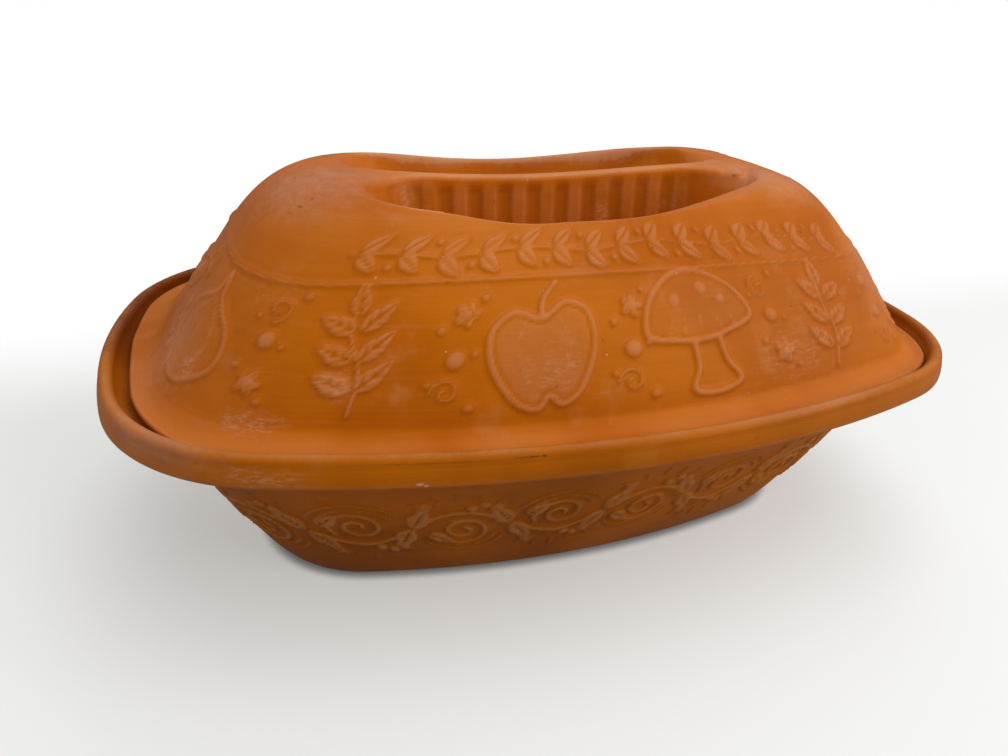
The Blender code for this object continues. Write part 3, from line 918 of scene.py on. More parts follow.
def heightUnder(levels, x, y, sag=False):
    # The height of a stack of nested ovals over each place, as if it were a bowl or a dome
    widths = np.array([halfWidthAt(level[0], x.ravel()) for level in levels])
    dip = dipAt(x.ravel()) if sag else 0.0
    heights = np.array([level[1] - (dip * level[2] ** 2 if sag else 0.0) * np.ones(x.size)
                        for level in levels])
    if sag:
        widths, heights = widths[::-1], heights[::-1]
    reach = np.abs(y.ravel())
    upper = np.clip((widths < reach).sum(0), 1, len(levels) - 1)
    place = np.arange(x.size)
    w0, w1 = widths[upper - 1, place], widths[upper, place]
    share = np.clip((reach - w0) / np.where(np.abs(w1 - w0) < 1e-9, 1e-9, w1 - w0), 0, 1)
    out = heights[upper - 1, place] + (heights[upper, place] - heights[upper - 1, place]) * share
    return out.reshape(x.shape)


lidTall = lidHigh.z - lidLow.z


def crownHeight(x, share):
    return lidTall - dipAt(x) + lidShape["crownRise"] * (1 - share ** 2) ** 2


def raiseShoulder(points):
    # The real lid's right-hand back shoulder stands a little fuller than its mirror image
    shape = lidShape["shoulder"]
    (atX, atY), (reachX, reachY) = shape["at"], shape["reach"]
    away = ((points[..., 0] - atX) / reachX) ** 2 + ((points[..., 1] - atY) / reachY) ** 2
    lift = shape["rise"] * np.exp(-away) * smoothStep((points[..., 2] - shape["from"]) / shape["run"])
    raised = points[..., 2] + lift
    held = softMin(raised, lidTall - shape["below"], shape["soft"])
    points[..., 2] = np.where(np.exp(-away) > 0.01, held, raised)


def crestLine(columns):
    # Where the dome, carried on over the crown, first rises above the wells
    shape = lidShape
    shares = np.linspace(shape["crestFrom"], 1.0, 241)
    path = [domeRow(share, columns) for share in shares]
    crown = ring(lidOvals()[2], columns)
    inward = np.linspace(1.0, shape["crestTo"], 161)[1:]
    for share in inward:
        flat = crown * share
        path.append(np.column_stack([flat, crownHeight(flat[:, 0], share)]))
    path = np.array(path)
    across = np.abs(path[..., 1])
    across = np.where(path[..., 1] < 0, across - frontShift(path[..., 0], across), across)
    bowl = heightUnder(wellLevels(), shortened(path[..., 0]), across)
    over = path[..., 2] - bowl
    above = over >= 0
    first = np.maximum(above.argmax(0), 1)
    place = np.arange(columns)
    before, after = over[first - 1, place], over[first, place]
    part = np.clip(-before / np.maximum(after - before, 1e-9), 0, 1)
    crest = path[first - 1, place] + (path[first, place] - path[first - 1, place]) * part[:, None]
    weights = shape["crestWeights"]
    shifts = range(-(len(weights) // 2), len(weights) // 2 + 1)
    evened = sum(weight * np.roll(crest, shift, axis=0) for shift, weight in zip(shifts, weights))
    return evened, path, first


def trimFlange(row, amount):
    # The flange's right end is cut back a little, and its left end runs at a slant
    shape = lidShape["endTrim"]
    past = np.maximum(np.abs(row[:, 0]) - shape["from"], 0.0)
    slanted = np.clip(shape["left"] + shape["leftSlant"] * row[:, 1], *shape["leftLimits"])
    share = np.where(row[:, 0] > 0, shape["right"], slanted)
    row[:, 0] -= np.sign(row[:, 0]) * past * share * amount


def makeLid(material):
    shape = lidShape
    columns = shape["columns"]
    fewer = shape["insideColumns"]
    flange, foot, crown = lidOvals()
    shell = newShell()

    # Flange: underside, rounded edge, and the cove up to the dome
    rows, wearAndHighlight = [], []
    flangeRound = shape["flangeRound"]
    for turn in np.radians((0, 30, 60, 90)):
        level = flange - flangeRound * (1 - math.sin(turn))
        rows.append(levelRow(level, flangeRound * (1 - math.cos(turn)), columns))
        wearAndHighlight.append(0.0)
    top = flange + np.array(shape["flangeLean"])
    tall = shape["flangeThickness"] - shape["edgeDrop"]
    edgeRound = shape["edgeRound"]
    for turn in np.radians((0, 18, 36, 54, 72, 90)):
        level = top - edgeRound * (1 - math.cos(turn))
        rows.append(levelRow(level, tall - edgeRound * (1 - math.sin(turn)), columns))
        wearAndHighlight.append(0.5 * math.sin(turn))
    inner = top - edgeRound
    for share in np.linspace(0, 1, 13)[1:-1]:
        height = tall + (shape["flangeThickness"] - tall) * smoothStep(share)
        cove = shape["coveRise"] * share ** 4 - shape["coveDepth"] * math.sin(math.pi * share)
        rows.append(levelRow(inner + (foot - inner) * share, height + cove, columns))
        wearAndHighlight.append(0.0)
    for place, row in enumerate(rows):
        trimFlange(row, min(1.0, (len(rows) - place) / shape["endTrim"]["rows"]))
    flangeCount = len(rows)

    # Dome rows stop at the crest, where the wells begin; each column runs its own way up
    crest, path, first = crestLine(columns)
    fine = np.linspace(0, 1, 301)
    lower = np.array([domeRow(share, columns) for share in fine])
    whole = []
    for column in range(columns):
        climbed = lower[fine < shape["crestFrom"], column]
        climbed = np.concatenate([climbed, path[:first[column] - 1, column], crest[column][None]])
        run = np.concatenate([[0], np.cumsum(np.linalg.norm(np.diff(climbed, axis=0), axis=1))])
        near = run[-1] - shape["crestStep"] * np.arange(shape["crestRows"], -1, -1)
        stops = np.concatenate([np.linspace(0, near[0], shape["domeRows"], endpoint=False), near])
        whole.append(np.stack([np.interp(stops, run, climbed[:, axis]) for axis in range(3)], 1))
    dome = np.array(whole).transpose(1, 0, 2)
    rows = np.concatenate([np.array(rows), dome])
    wearAndHighlight += [0.0] * len(dome)

    # Ornament
    front = columns * 3 // 4
    climbed = np.linalg.norm(np.diff(rows, axis=0), axis=2).cumsum(0) / mm
    length = np.concatenate([np.zeros((1, columns)), climbed])
    length -= length[flangeCount]
    middle = flangeCount + int(np.searchsorted(length[flangeCount:, front], lidOrnament["middle"]))
    around = np.linalg.norm(rows[middle] - np.roll(rows[middle], 1, axis=0), axis=1).sum() / mm
    along = (np.arange(columns) / columns - 0.75) * around
    canvas = newCanvas(np.tile(along, (len(rows), 1)), length, around)
    carveLid(canvas)
    canvas["height"][:flangeCount + 2] = 0
    rows = pressOrnament(rows, canvas, shape["carving"])
    raiseShoulder(rows)
    rows[..., 2] += lidLow.z
    wornAndHighlight = np.tile(np.array(wearAndHighlight)[:, None], (1, columns))
    marks = np.stack([canvas["height"], wornAndHighlight, np.zeros_like(length)], -1)
    # A painted highlight with some wear along the crest and the wells' rims, fading towards the ends
    highlightReach, highlightRun = shape["highlightEnds"]
    ends = smoothStep((highlightReach - np.abs(rows[-1, :, 0])) / highlightRun)
    marks[-3:, :, 1] = np.array(shape["crestHighlightAndWear"])[:, None] * ends
    outside = addRows(shell, rows, marks)
    skin(shell, outside)

    # Wells and the rib between them, as sections across the lid
    halves = (np.concatenate([crest[columns // 2:], crest[:1]]), crest[:columns // 2 + 1])
    tipLow = max(half[:, 0].min() for half in halves) + shape["tipInset"]
    tipHigh = min(half[:, 0].max() for half in halves) - shape["tipInset"]
    step, start = shape["stationStep"], shape["flutePlace"]
    firstStep = math.ceil((tipLow - start) / step)
    lastStep = math.floor((tipHigh - start) / step)
    stations = start + step * np.arange(firstStep, lastStep + 1)
    crestAt = []
    for half in halves:
        half = half[np.argsort(half[:, 0])]
        crestAt.append([np.interp(stations, half[:, 0], np.abs(half[:, axis])) for axis in (1, 2)])
    domeTop = [domeLevel(share) for share in np.linspace(0.6, 1.0, 81)]
    endTop = heightUnder(domeTop, stations, np.full_like(stations, 0.0), sag=True)
    inCrown = np.abs(stations) < crown[0]
    onCrown = crownHeight(stations, np.minimum(np.abs(stations) / crown[0], 1))
    ribTop = np.where(inCrown, onCrown, endTop)
    levels = wellLevels()
    widths = np.array([halfWidthAt(level[0], shortened(stations)) for level in levels])
    widths = (widths + frontShift(stations, widths), widths)
    heights = np.array([level[1] for level in levels])
    sections, marks = [], []
    for place, x in enumerate(stations):
        sides = []
        for side in (0, 1):
            crestY, crestZ = (values[place] for values in crestAt[side])
            sides.append(wellSide(x, crestY, crestZ, ribTop[place], widths[side][:, place], heights, side))
        sections.append(np.concatenate([sides[0][0][::-1] * (1, -1, 1), sides[1][0][1:]]))
        marks.append(np.concatenate([sides[0][1][::-1], sides[1][1][1:]]))
    sections, marks = np.array(sections), np.array(marks)
    marks[:, (0, -1), 1] = shape["wellHighlightAndWear"] * smoothStep((highlightReach - np.abs(stations)) / highlightRun)[:, None]
    raiseShoulder(sections)
    sections[..., 2] += lidLow.z
    border = weaveSheet(shell, sections, marks)
    outsideCount = shell["count"]
    stitch(shell, outside[-1], startAt(shell, border, outside[-1][0]))

    # Inside of the dome, up to where the wells hang down
    inner = [domeRow(share, fewer, shape["wall"]) for share in np.linspace(0, shape["innerTo"], 24)]
    mouth = inner[0].copy()
    mouth[:, 2] = 0.0
    inner = np.array([mouth] + inner)
    inner[..., 2] += lidLow.z
    insideIndex = addRows(shell, inner)
    skin(shell, insideIndex)
    stitch(shell, insideIndex[0], outside[0])
    border = weaveSheet(shell, ceilingSections(inner[-1]))
    stitch(shell, insideIndex[-1], startAt(shell, border, insideIndex[-1][0]))

    piece = finishShell(shell, "lidBody", "lid", material)
    softenCrown(piece, outsideCount)
    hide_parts("lid")
    return piece


def wellSide(x, crestY, crestZ, ribTop, widths, heights, farSide):
    # From the top of the rib down its fluted flank, over the well's floor and up to just inside the crest
    shape = lidShape
    reach = abs(shortened(x))
    merge = smoothStep((reach - shape["landFrom"][farSide]) / shape["landRun"])
    halfLimit, footLimit = shape["ribLimits"]
    half = min(shape["ribHalf"] + shape["landHalf"] * merge, crestY * halfLimit)
    foot = min(half + shape["ribDraft"] * (1 + merge), crestY * footLimit)

    def crownAt(y):
        return ribTop - (ribTop - crestZ) * np.minimum(y / crestY, 1) ** 2

    widths = np.maximum.accumulate(widths)
    wallTop = float(np.interp(crestZ - shape["borderInset"], heights, widths))
    lastY = max(min(wallTop, crestY - 0.00015), foot + 0.0002)
    fadeMiddle, fadeEnd = shape["wellFade"]
    fadeFrom, fadeRun = shape["wellFadeFrom"]
    fade = fadeMiddle + (fadeEnd - fadeMiddle) * smoothStep((abs(x) - fadeFrom) / fadeRun)
    closeFrom, closeRun = shape["wellClose"]
    deep = np.maximum(crownAt(np.maximum(widths, 0.0)) - heights, 0.0)
    deep = (deep - fade * (1 - np.exp(-deep / fade))) * (1 - smoothStep((reach - closeFrom) / closeRun))
    heights = crownAt(np.maximum(widths, 0.0)) - deep
    last = (lastY, float(crownAt(lastY) - np.interp(lastY, widths, deep)))
    junction = min(float(np.interp(foot, widths, heights)), float(crownAt(half)) - 0.0001)
    roundRib, roundLand = shape["ribRound"]
    roundness = min(roundRib + roundLand * merge, (crownAt(half) - junction) * 0.45, half * 0.8)
    top = float(crownAt(half - roundness))
    tall = top - junction

    # Rib: a rounded top band, which widens into the land at the wells' ends, and flat ridges between hollows
    pitch = shape["flutePitch"]
    along = x - shape["flutePlace"]
    away = abs((along + pitch / 2) % pitch - pitch / 2)
    amount = 1 - smoothStep((abs(along) - shape["fluteReach"]) / shape["fluteFade"])
    hollow = smoothStep((away - shape["fluteRidge"]) / shape["fluteSlope"]) * amount
    # Painted highlight with wear on the flute ridges and their edges; soil and painted shade on the flank and
    # in the hollows
    edgeHighlightAndWear, ridgeHighlightAndWear = shape["fluteHighlightAndWear"]
    flankSoilAndShade, hollowSoilAndShade = shape["fluteSoilAndShade"]
    onEdge = abs(away - shape["fluteRidge"]) < 0.0001
    edge = edgeHighlightAndWear * amount if onEdge else ridgeHighlightAndWear * amount * (1 - hollow)
    band = min(shape["fluteHeadroom"], tall * 0.9)
    land = shape["wellHighlightAndWear"] - 0.4 * merge
    side = []
    for share in (0.0, 0.4, 0.75):
        across = share * (half - roundness)
        side.append((across, float(crownAt(across)), land, 0.0))
    for turn in np.radians(np.linspace(90, 0, shape["topPoints"])):
        across = half - roundness + roundness * math.cos(turn)
        height = top - roundness + roundness * math.sin(turn)
        side.append((across, height, land * math.sin(turn) ** 0.5, 0.0))
    for step in np.linspace(0, 1, shape["flankPoints"])[1:]:
        drop = roundness + (tall - roundness) * step
        lean = (foot - half) * max(drop - band, 0.0) / max(tall - band, 0.0001)
        start = smoothStep((drop - band + 0.0010) / 0.0024)
        cut = shape["fluteDepth"] * hollow * start * (1 - 0.35 * smoothStep((drop - tall + 0.004) / 0.004))
        soilAndShade = (flankSoilAndShade * amount + hollowSoilAndShade * hollow) * start
        side.append((half + lean - cut, top - drop, edge * start, soilAndShade))

    # Well: from the rib's foot over the floor and up the wall
    reached = (widths > foot) & (widths < lastY)
    well = [side[-1][:2]]
    if widths[0] > foot:
        well += [(y, heights[0]) for y in np.linspace(foot, widths[0], 12)[1:]]
    well = np.array(well + list(zip(widths[reached], heights[reached])) + [last])
    run = np.concatenate([[0], np.cumsum(np.hypot(*np.diff(well, axis=0).T))])
    stops = np.linspace(0, run[-1], shape["wellPoints"])
    side = np.array(side)
    well = np.stack([np.interp(stops, run, well[:, 0]), np.interp(stops, run, well[:, 1])], 1)[1:]
    marks = np.zeros((len(side) + len(well), 3))
    marks[:len(side), 1:] = side[:, 2:]
    points = np.concatenate([side[:, :2], well])
    # Soil and painted shade on the well's floor, fading towards the crest
    marks[len(side):, 2] = np.linspace(shape["wellSoilAndShade"] * amount, 0.0, len(well))
    return np.column_stack([np.full(len(points), x), points]), marks


def ceilingSections(edge):
    # The lid's ceiling follows the crown from below, and hangs down under the wells
    shape = lidShape
    fewer = len(edge)
    picked = np.arange(fewer // 2 - 2, 1, -1)
    across = np.linspace(-1, 1, 43)
    insetAlong, insetAcross = shape["ceilingInset"]
    x = np.repeat(edge[picked, 0][:, None], len(across), 1) * insetAlong
    y = edge[picked, 1][:, None] * across * insetAcross
    domeUnder = [domeLevel(share, shape["wall"]) for share in np.linspace(0.5, 1.0, 61)]
    high = heightUnder(domeUnder, x, y, sag=True)
    roof = lidTall - shape["wall"] - dipAt(x)
    bowl = heightUnder(wellLevels(shape["wall"]), shortened(x), y)
    soft = shape["ceilingSoft"]
    z = softMin(softMin(high, roof, soft), bowl, soft)
    return np.stack([x, y, z + lidLow.z], -1)


def softenCrown(piece, outsideCount):
    # Rounds the crest, the rib's foot and the wells' ends, each pass over a smaller part
    shape = lidShape
    mesh = piece.data
    spots = np.empty(len(mesh.vertices) * 3)
    mesh.vertices.foreach_get("co", spots)
    spots = spots.reshape(-1, 3)
    reach = np.abs(spots[:, 0])
    height = spots[:, 2] - lidLow.z
    near = (height > shape["softAbove"]) & (np.arange(len(spots)) < outsideCount)
    near &= np.hypot(spots[:, 0] / shape["softReach"][0], spots[:, 1] / shape["softReach"][1]) < 1.0
    farX, farY, farUp = shape["flutesKept"]
    onFlutes = (reach < farX) & (np.abs(spots[:, 1]) < farY) & (height < farUp)
    for start, repeat in shape["softPasses"]:
        picked = near & (reach > start) if start else near & ~onFlutes
        bpy.ops.object.mode_set(mode="EDIT")
        bpy.ops.mesh.select_mode(type="VERT")
        bpy.ops.mesh.select_all(action="DESELECT")
        bpy.ops.object.mode_set(mode="OBJECT")
        mesh.vertices.foreach_set("select", picked)
        bpy.ops.object.mode_set(mode="EDIT")
        bpy.ops.mesh.vertices_smooth(factor=0.5, repeat=repeat)
        bpy.ops.object.mode_set(mode="OBJECT")


# Shader building blocks

def feed(tree, socket, value):
    if isinstance(value, bpy.types.NodeSocket):
        tree.links.new(value, socket)
    else:
        socket.default_value = value


def addNode(tree, kind, inputs=None, **settings):
    node = tree.nodes.new("ShaderNode" + kind)
    for name, value in settings.items():
        setattr(node, name, value)
    for name, value in (inputs or {}).items():
        feed(tree, node.inputs[name], value)
    return node


def calc(tree, operation, first, second=0.0):
    return addNode(tree, "Math", {0: first, 1: second}, operation=operation).outputs[0]


def times(tree, first, second):
    return calc(tree, "MULTIPLY", first, second)


def plus(tree, first, second):
    return calc(tree, "ADD", first, second)


def between(tree, value, low, high, start=0.0, end=1.0):
    limits = {"Value": value, "From Min": low, "From Max": high, "To Min": start, "To Max": end}
    return addNode(tree, "MapRange", limits, interpolation_type="SMOOTHSTEP").outputs[0]


def blendColours(tree, share, first, second):
    node = addNode(tree, "Mix", data_type="RGBA")
    for socket, value in zip((0, 6, 7), (share, first, second)):
        feed(tree, node.inputs[socket], value)
    return node.outputs[2]


def mixShaders(tree, share, first, second):
    return addNode(tree, "MixShader", {0: share, 1: first, 2: second}).outputs[0]


def glow(tree, tone, strength=1.0):
    return addNode(tree, "Emission", {"Color": tone, "Strength": strength}).outputs[0]


def noiseAt(tree, vector, scale, detail=3.0, roughness=0.5):
    inputs = {"Vector": vector, "Scale": scale, "Detail": detail, "Roughness": roughness}
    return addNode(tree, "TexNoise", inputs).outputs["Fac"]


def stretched(tree, vector, scale):
    return addNode(tree, "Mapping", {"Vector": vector, "Scale": scale}).outputs[0]


def moved(tree, operation, first, second):
    return addNode(tree, "VectorMath", {0: first, 1: second}, operation=operation).outputs[0]


def newGroup(name, inputs, outputs):
    group = bpy.data.node_groups.new(name, "ShaderNodeTree")
    for label, kind in inputs:
        group.interface.new_socket(label, in_out="INPUT", socket_type=kind)
    for label, kind in outputs:
        group.interface.new_socket(label, in_out="OUTPUT", socket_type=kind)
    return group, group.nodes.new("NodeGroupInput").outputs, group.nodes.new("NodeGroupOutput").inputs


def place(tree, group, inputs):
    node = tree.nodes.new("ShaderNodeGroup")
    node.node_tree = group
    for name, value in inputs.items():
        feed(tree, node.inputs[name], value)
    return node.outputs


number = "NodeSocketFloat"
colour = "NodeSocketColor"
vector = "NodeSocketVector"


def makeMottleGroup():
    # Cloudy changes of tone in fired clay, from hand-sized clouds down to grain
    outputs = [("Clouds", number), ("Blotches", number), ("Grain", number)]
    tree, given, out = newGroup("clayMottle", [("Vector", vector)], outputs)
    tree.links.new(noiseAt(tree, given["Vector"], 14.0, 3.0, 0.55), out["Clouds"])
    tree.links.new(noiseAt(tree, given["Vector"], 70.0, 4.0, 0.6), out["Blotches"])
    tree.links.new(noiseAt(tree, given["Vector"], 900.0, 2.0, 0.5), out["Grain"])
    return tree


def makeWipeGroup():
    # Fine level lines left by the sponge and the trowel
    tree, given, out = newGroup("wipeLines", [("Vector", vector)], [("Lines", number), ("Bands", number)])
    fine = noiseAt(tree, stretched(tree, given["Vector"], (9.0, 9.0, 900.0)), 1.0, 2.0, 0.6)
    broad = noiseAt(tree, stretched(tree, given["Vector"], (5.0, 5.0, 170.0)), 1.0, 3.0, 0.6)
    tree.links.new(fine, out["Lines"])
    tree.links.new(broad, out["Bands"])
    return tree


def makeSpeckGroup():
    # Sparse specks and pinholes: a few cells of a fine grid hold one
    inputs = [("Vector", vector), ("Scale", number), ("Share", number), ("Size", number)]
    tree, given, out = newGroup("claySpecks", inputs, [("Mask", number)])
    cells = addNode(tree, "TexVoronoi", {"Vector": given["Vector"], "Scale": given["Scale"]})
    drawn = addNode(tree, "SeparateColor", {"Color": cells.outputs["Color"]}).outputs[0]
    chosen = calc(tree, "LESS_THAN", drawn, given["Share"])
    near = between(tree, calc(tree, "DIVIDE", cells.outputs["Distance"], given["Size"]), 0.6, 1.0, 1.0, 0.0)
    tree.links.new(times(tree, chosen, near), out["Mask"])
    return tree


def makeDustGroup():
    # Dust and a painted sheen on faces that look up, wear on relief and rubbed edges, a painted highlight on
    # crests and flute ridges, and soil with painted shade in hollows
    names = ("SettledAndSheen", "Rubbed", "Lifted", "WornAndHighlight", "SoiledAndShaded")
    outputs = [(name, number) for name in names]
    tree, given, out = newGroup("clayDust", [("Vector", vector), ("Clouds", number)], outputs)
    facing = addNode(tree, "SeparateXYZ", {0: addNode(tree, "NewGeometry").outputs["Normal"]}).outputs["Z"]
    # Faces that look up get dust and a painted sheen
    settledAndSheen = times(tree, between(tree, facing, 0.55, 1.0), between(tree, given["Clouds"], 0.36, 0.60))
    relief, wearAndHighlight, soilAndShade = (addNode(tree, "Attribute", attribute_name=name).outputs["Fac"]
                          for name in ("relief", "wearAndHighlight", "soilAndShade"))
    patches = times(tree, noiseAt(tree, given["Vector"], 65.0, 5.0, 0.7), 0.75)
    scuffs = plus(tree, patches, times(tree, noiseAt(tree, given["Vector"], 800.0, 2.0, 0.5), 0.25))
    lifted = times(tree, between(tree, relief, 0.25, 0.8), 0.6)
    rubbed = times(tree, calc(tree, "MAXIMUM", lifted, wearAndHighlight), between(tree, scuffs, 0.30, 0.68))
    wornAndHighlight = between(tree, wearAndHighlight, 0.65, 1.0)
    for name, value in zip(names, (settledAndSheen, rubbed, relief, wornAndHighlight, soilAndShade)):
        tree.links.new(value, out[name])
    return tree


def makeMarkGroup():
    # One mark at a place of its own: a stain, a scuff, a patch of dust with a painted sheen, or a patch of
    # soil with painted shade
    inputs = [(name, vector) for name in ("Vector", "Centre", "Size")]
    inputs += [(name, number) for name in ("Noise", "Streaks", "Ragged", "Soft", "Broken")]
    tree, given, out = newGroup("clayMark", inputs, [("Mask", number)])
    scaled = moved(tree, "DIVIDE", moved(tree, "SUBTRACT", given["Vector"], given["Centre"]), given["Size"])
    reach = addNode(tree, "VectorMath", {0: scaled}, operation="LENGTH").outputs["Value"]
    ragged = times(tree, calc(tree, "SUBTRACT", given["Noise"], 0.5), given["Ragged"])
    near = between(tree, plus(tree, reach, ragged), calc(tree, "SUBTRACT", 1.0, given["Soft"]), 1.0, 1.0, 0.0)
    missing = times(tree, given["Broken"], calc(tree, "SUBTRACT", 1.0, given["Streaks"]))
    tree.links.new(times(tree, near, calc(tree, "SUBTRACT", 1.0, missing)), out["Mask"])
    return tree


clayColours = {
    "lid": {
        "body": (0.50, 0.128, 0.003, 1),
        "deep": (0.40, 0.088, 0.001, 1),
        "dusty": (0.54, 0.190, 0.064, 1),
    },
    "dish": {
        "body": (0.43, 0.108, 0.002, 1),
        "deep": (0.30, 0.070, 0.001, 1),
        "dusty": (0.42, 0.160, 0.022, 1),
    },
    # Pale specks, and the painted highlight along crests and the rib's top
    "pale": (0.66, 0.36, 0.20, 1),
    "rubbed": (0.54, 0.225, 0.105, 1),
    # Soil with painted shade, for hollows, the channel and the lip's inner wall
    "soilAndShade": (0.17, 0.036, 0.002, 1),
    # Dust with a painted sheen
    "dustAndSheen": (0.50, 0.225, 0.135, 1),
    "chalk": (0.62, 0.44, 0.33, 1),
    "dark": (0.035, 0.018, 0.012, 1),
    "roughness": (0.42, 0.62),
    "specular": 0.12,
    "specularTint": (1.0, 0.60, 0.30, 1),
    "speckShake": (0.0016, 0.0010, 0.0013),
    "bumpStrength": 0.8,
}

# Layers of tone over the ground, in order: what drives each, from where to where, its strength and its tone
clayLayers = (
    ("blotches", (0.54, 0.74), 0.35, "dusty"),
    # Dust and a painted sheen on faces that look up
    ("settledAndSheen", None, 0.38, "dusty"),
    ("bands", (0.40, 0.70), 0.25, "deep"),
    ("lines", (0.55, 0.80), 0.12, "dusty"),
    # Painted shade at the foot of the raised ornament
    ("reliefFootShade", None, 0.40, "deep"),
    ("lifted", (0.30, 0.75), 0.35, "dusty"),
    # Soil and painted shade in hollows, the channel and the lip's inner wall
    ("soiledAndShaded", None, 0.80, "soilAndShade"),
    # Rubbed wear; on crests and flute ridges it also lays on the painted highlight
    ("rubbed", None, 0.65, "rubbed"),
    # Pale tone on crests and the rib's top: a painted highlight
    ("wornAndHighlight", None, 0.40, "pale"),
    ("paleSpecks", None, 0.60, "pale"),
    ("darkSpecks", None, 0.60, "dark"),
)

# Specks: cells to the metre, the share of cells that hold one, and its size in its cell
claySpecks = {
    "paleSpecks": (330.0, 0.03, 0.12),
    "darkSpecks": (170.0, 0.02, 0.10),
    "pinholes": (230.0, 0.05, 0.13),
}

# How high the surface stands over its own lines, grain, blotches and pinholes
clayBumps = (("lines", 0.00010), ("grain", 0.00005), ("blotches", 0.00035), ("pinholes", -0.0004))

# How ragged, how soft and how broken up each kind of mark is
markStyles = {
    "dustAndSheen": (0.9, 0.95, 0.35),
    "rubbed": (1.2, 0.80, 0.85),
    "soilAndShade": (0.8, 0.80, 0.10),
    "dark": (1.1, 0.60, 0.55),
    "chalk": (1.0, 0.50, 0.40),
}

# Marks of use, patches of dust with a painted sheen, and soil with painted shade: tone, strength, where (mm)
# and how far they reach (mm)
clayMarks = {
    "lid": (
        # Patches of dust with a painted sheen on the crown and the dome's sides
        ("dustAndSheen", 0.60, (-98, -18, 148), (30, 36, 13)),
        ("dustAndSheen", 0.60, (82, -26, 150), (28, 34, 11)),
        ("dustAndSheen", 0.45, (120, -48, 120), (28, 42, 36)),
        ("dustAndSheen", 0.45, (-150, -25, 100), (22, 40, 26)),
        ("rubbed", 0.75, (-141, -50, 101), (7, 6, 10)),
        ("rubbed", 0.70, (-150, -32, 96), (5, 5, 5)),
        ("rubbed", 0.65, (-98, -78, 103), (9, 7, 7)),
        ("rubbed", 0.65, (-125, -75, 92), (18, 10, 5)),
        ("rubbed", 0.70, (-61, -8, 142), (5, 6, 9)),
        ("rubbed", 0.65, (20, -7, 134), (8, 6, 6)),
        ("rubbed", 0.65, (50, -9, 137), (9, 7, 8)),
        ("rubbed", 0.55, (-30, -84, 104), (16, 12, 12)),
        ("rubbed", 0.50, (62, -80, 100), (24, 16, 14)),
        # A small dark patch by the rib's foot: soil with painted shade
        ("soilAndShade", 0.45, (-3, -8, 141), (6, 5, 6)),
        ("dark", 0.50, (-110, -33, 142.2), (3.4, 2.0, 0.40)),
        ("dark", 0.50, (-106, -33, 143.8), (2.8, 2.0, 0.40)),
        ("dark", 0.50, (-102, -32.5, 145.6), (2.2, 1.8, 0.45)),
        ("dark", 0.65, (-98, -31.5, 148.0), (1.0, 1.4, 0.8)),
        ("dark", 0.80, (74, -16.5, 150.4), (0.9, 1.4, 0.9)),
        ("chalk", 0.60, (-10, -6.5, 133), (0.9, 2, 0.9)),
    ),
    "dish": (
        ("dark", 0.45, (-76, -106, 88.6), (30, 12, 0.28)),
        ("dark", 0.80, (-46, -109, 88.9), (7.0, 6, 0.34)),
        ("dark", 0.90, (-41, -109, 88.9), (1.0, 6, 0.6)),
        ("dark", 0.50, (-148, -78, 87), (14, 14, 5.0)),
        ("dark", 0.50, (-158, -62, 86), (8, 10, 4.0)),
        ("dark", 0.45, (34, -109.5, 85), (1.4, 4, 0.7)),
        ("chalk", 0.60, (-78, -104.5, 82.2), (1.5, 4, 0.7)),
        ("chalk", 0.50, (-76, -104.5, 81.6), (0.9, 4, 0.6)),
        # Dust with a painted sheen at the left end, and a painted highlight streak along the lip's crest at
        # the front right
        ("dustAndSheen", 0.50, (-150, -70, 88), (34, 38, 9)),
        ("dustAndSheen", 0.45, (70, -106, 91), (70, 12, 2.0)),
        ("rubbed", 0.55, (-120, -90, 84), (20, 20, 5)),
    ),
}


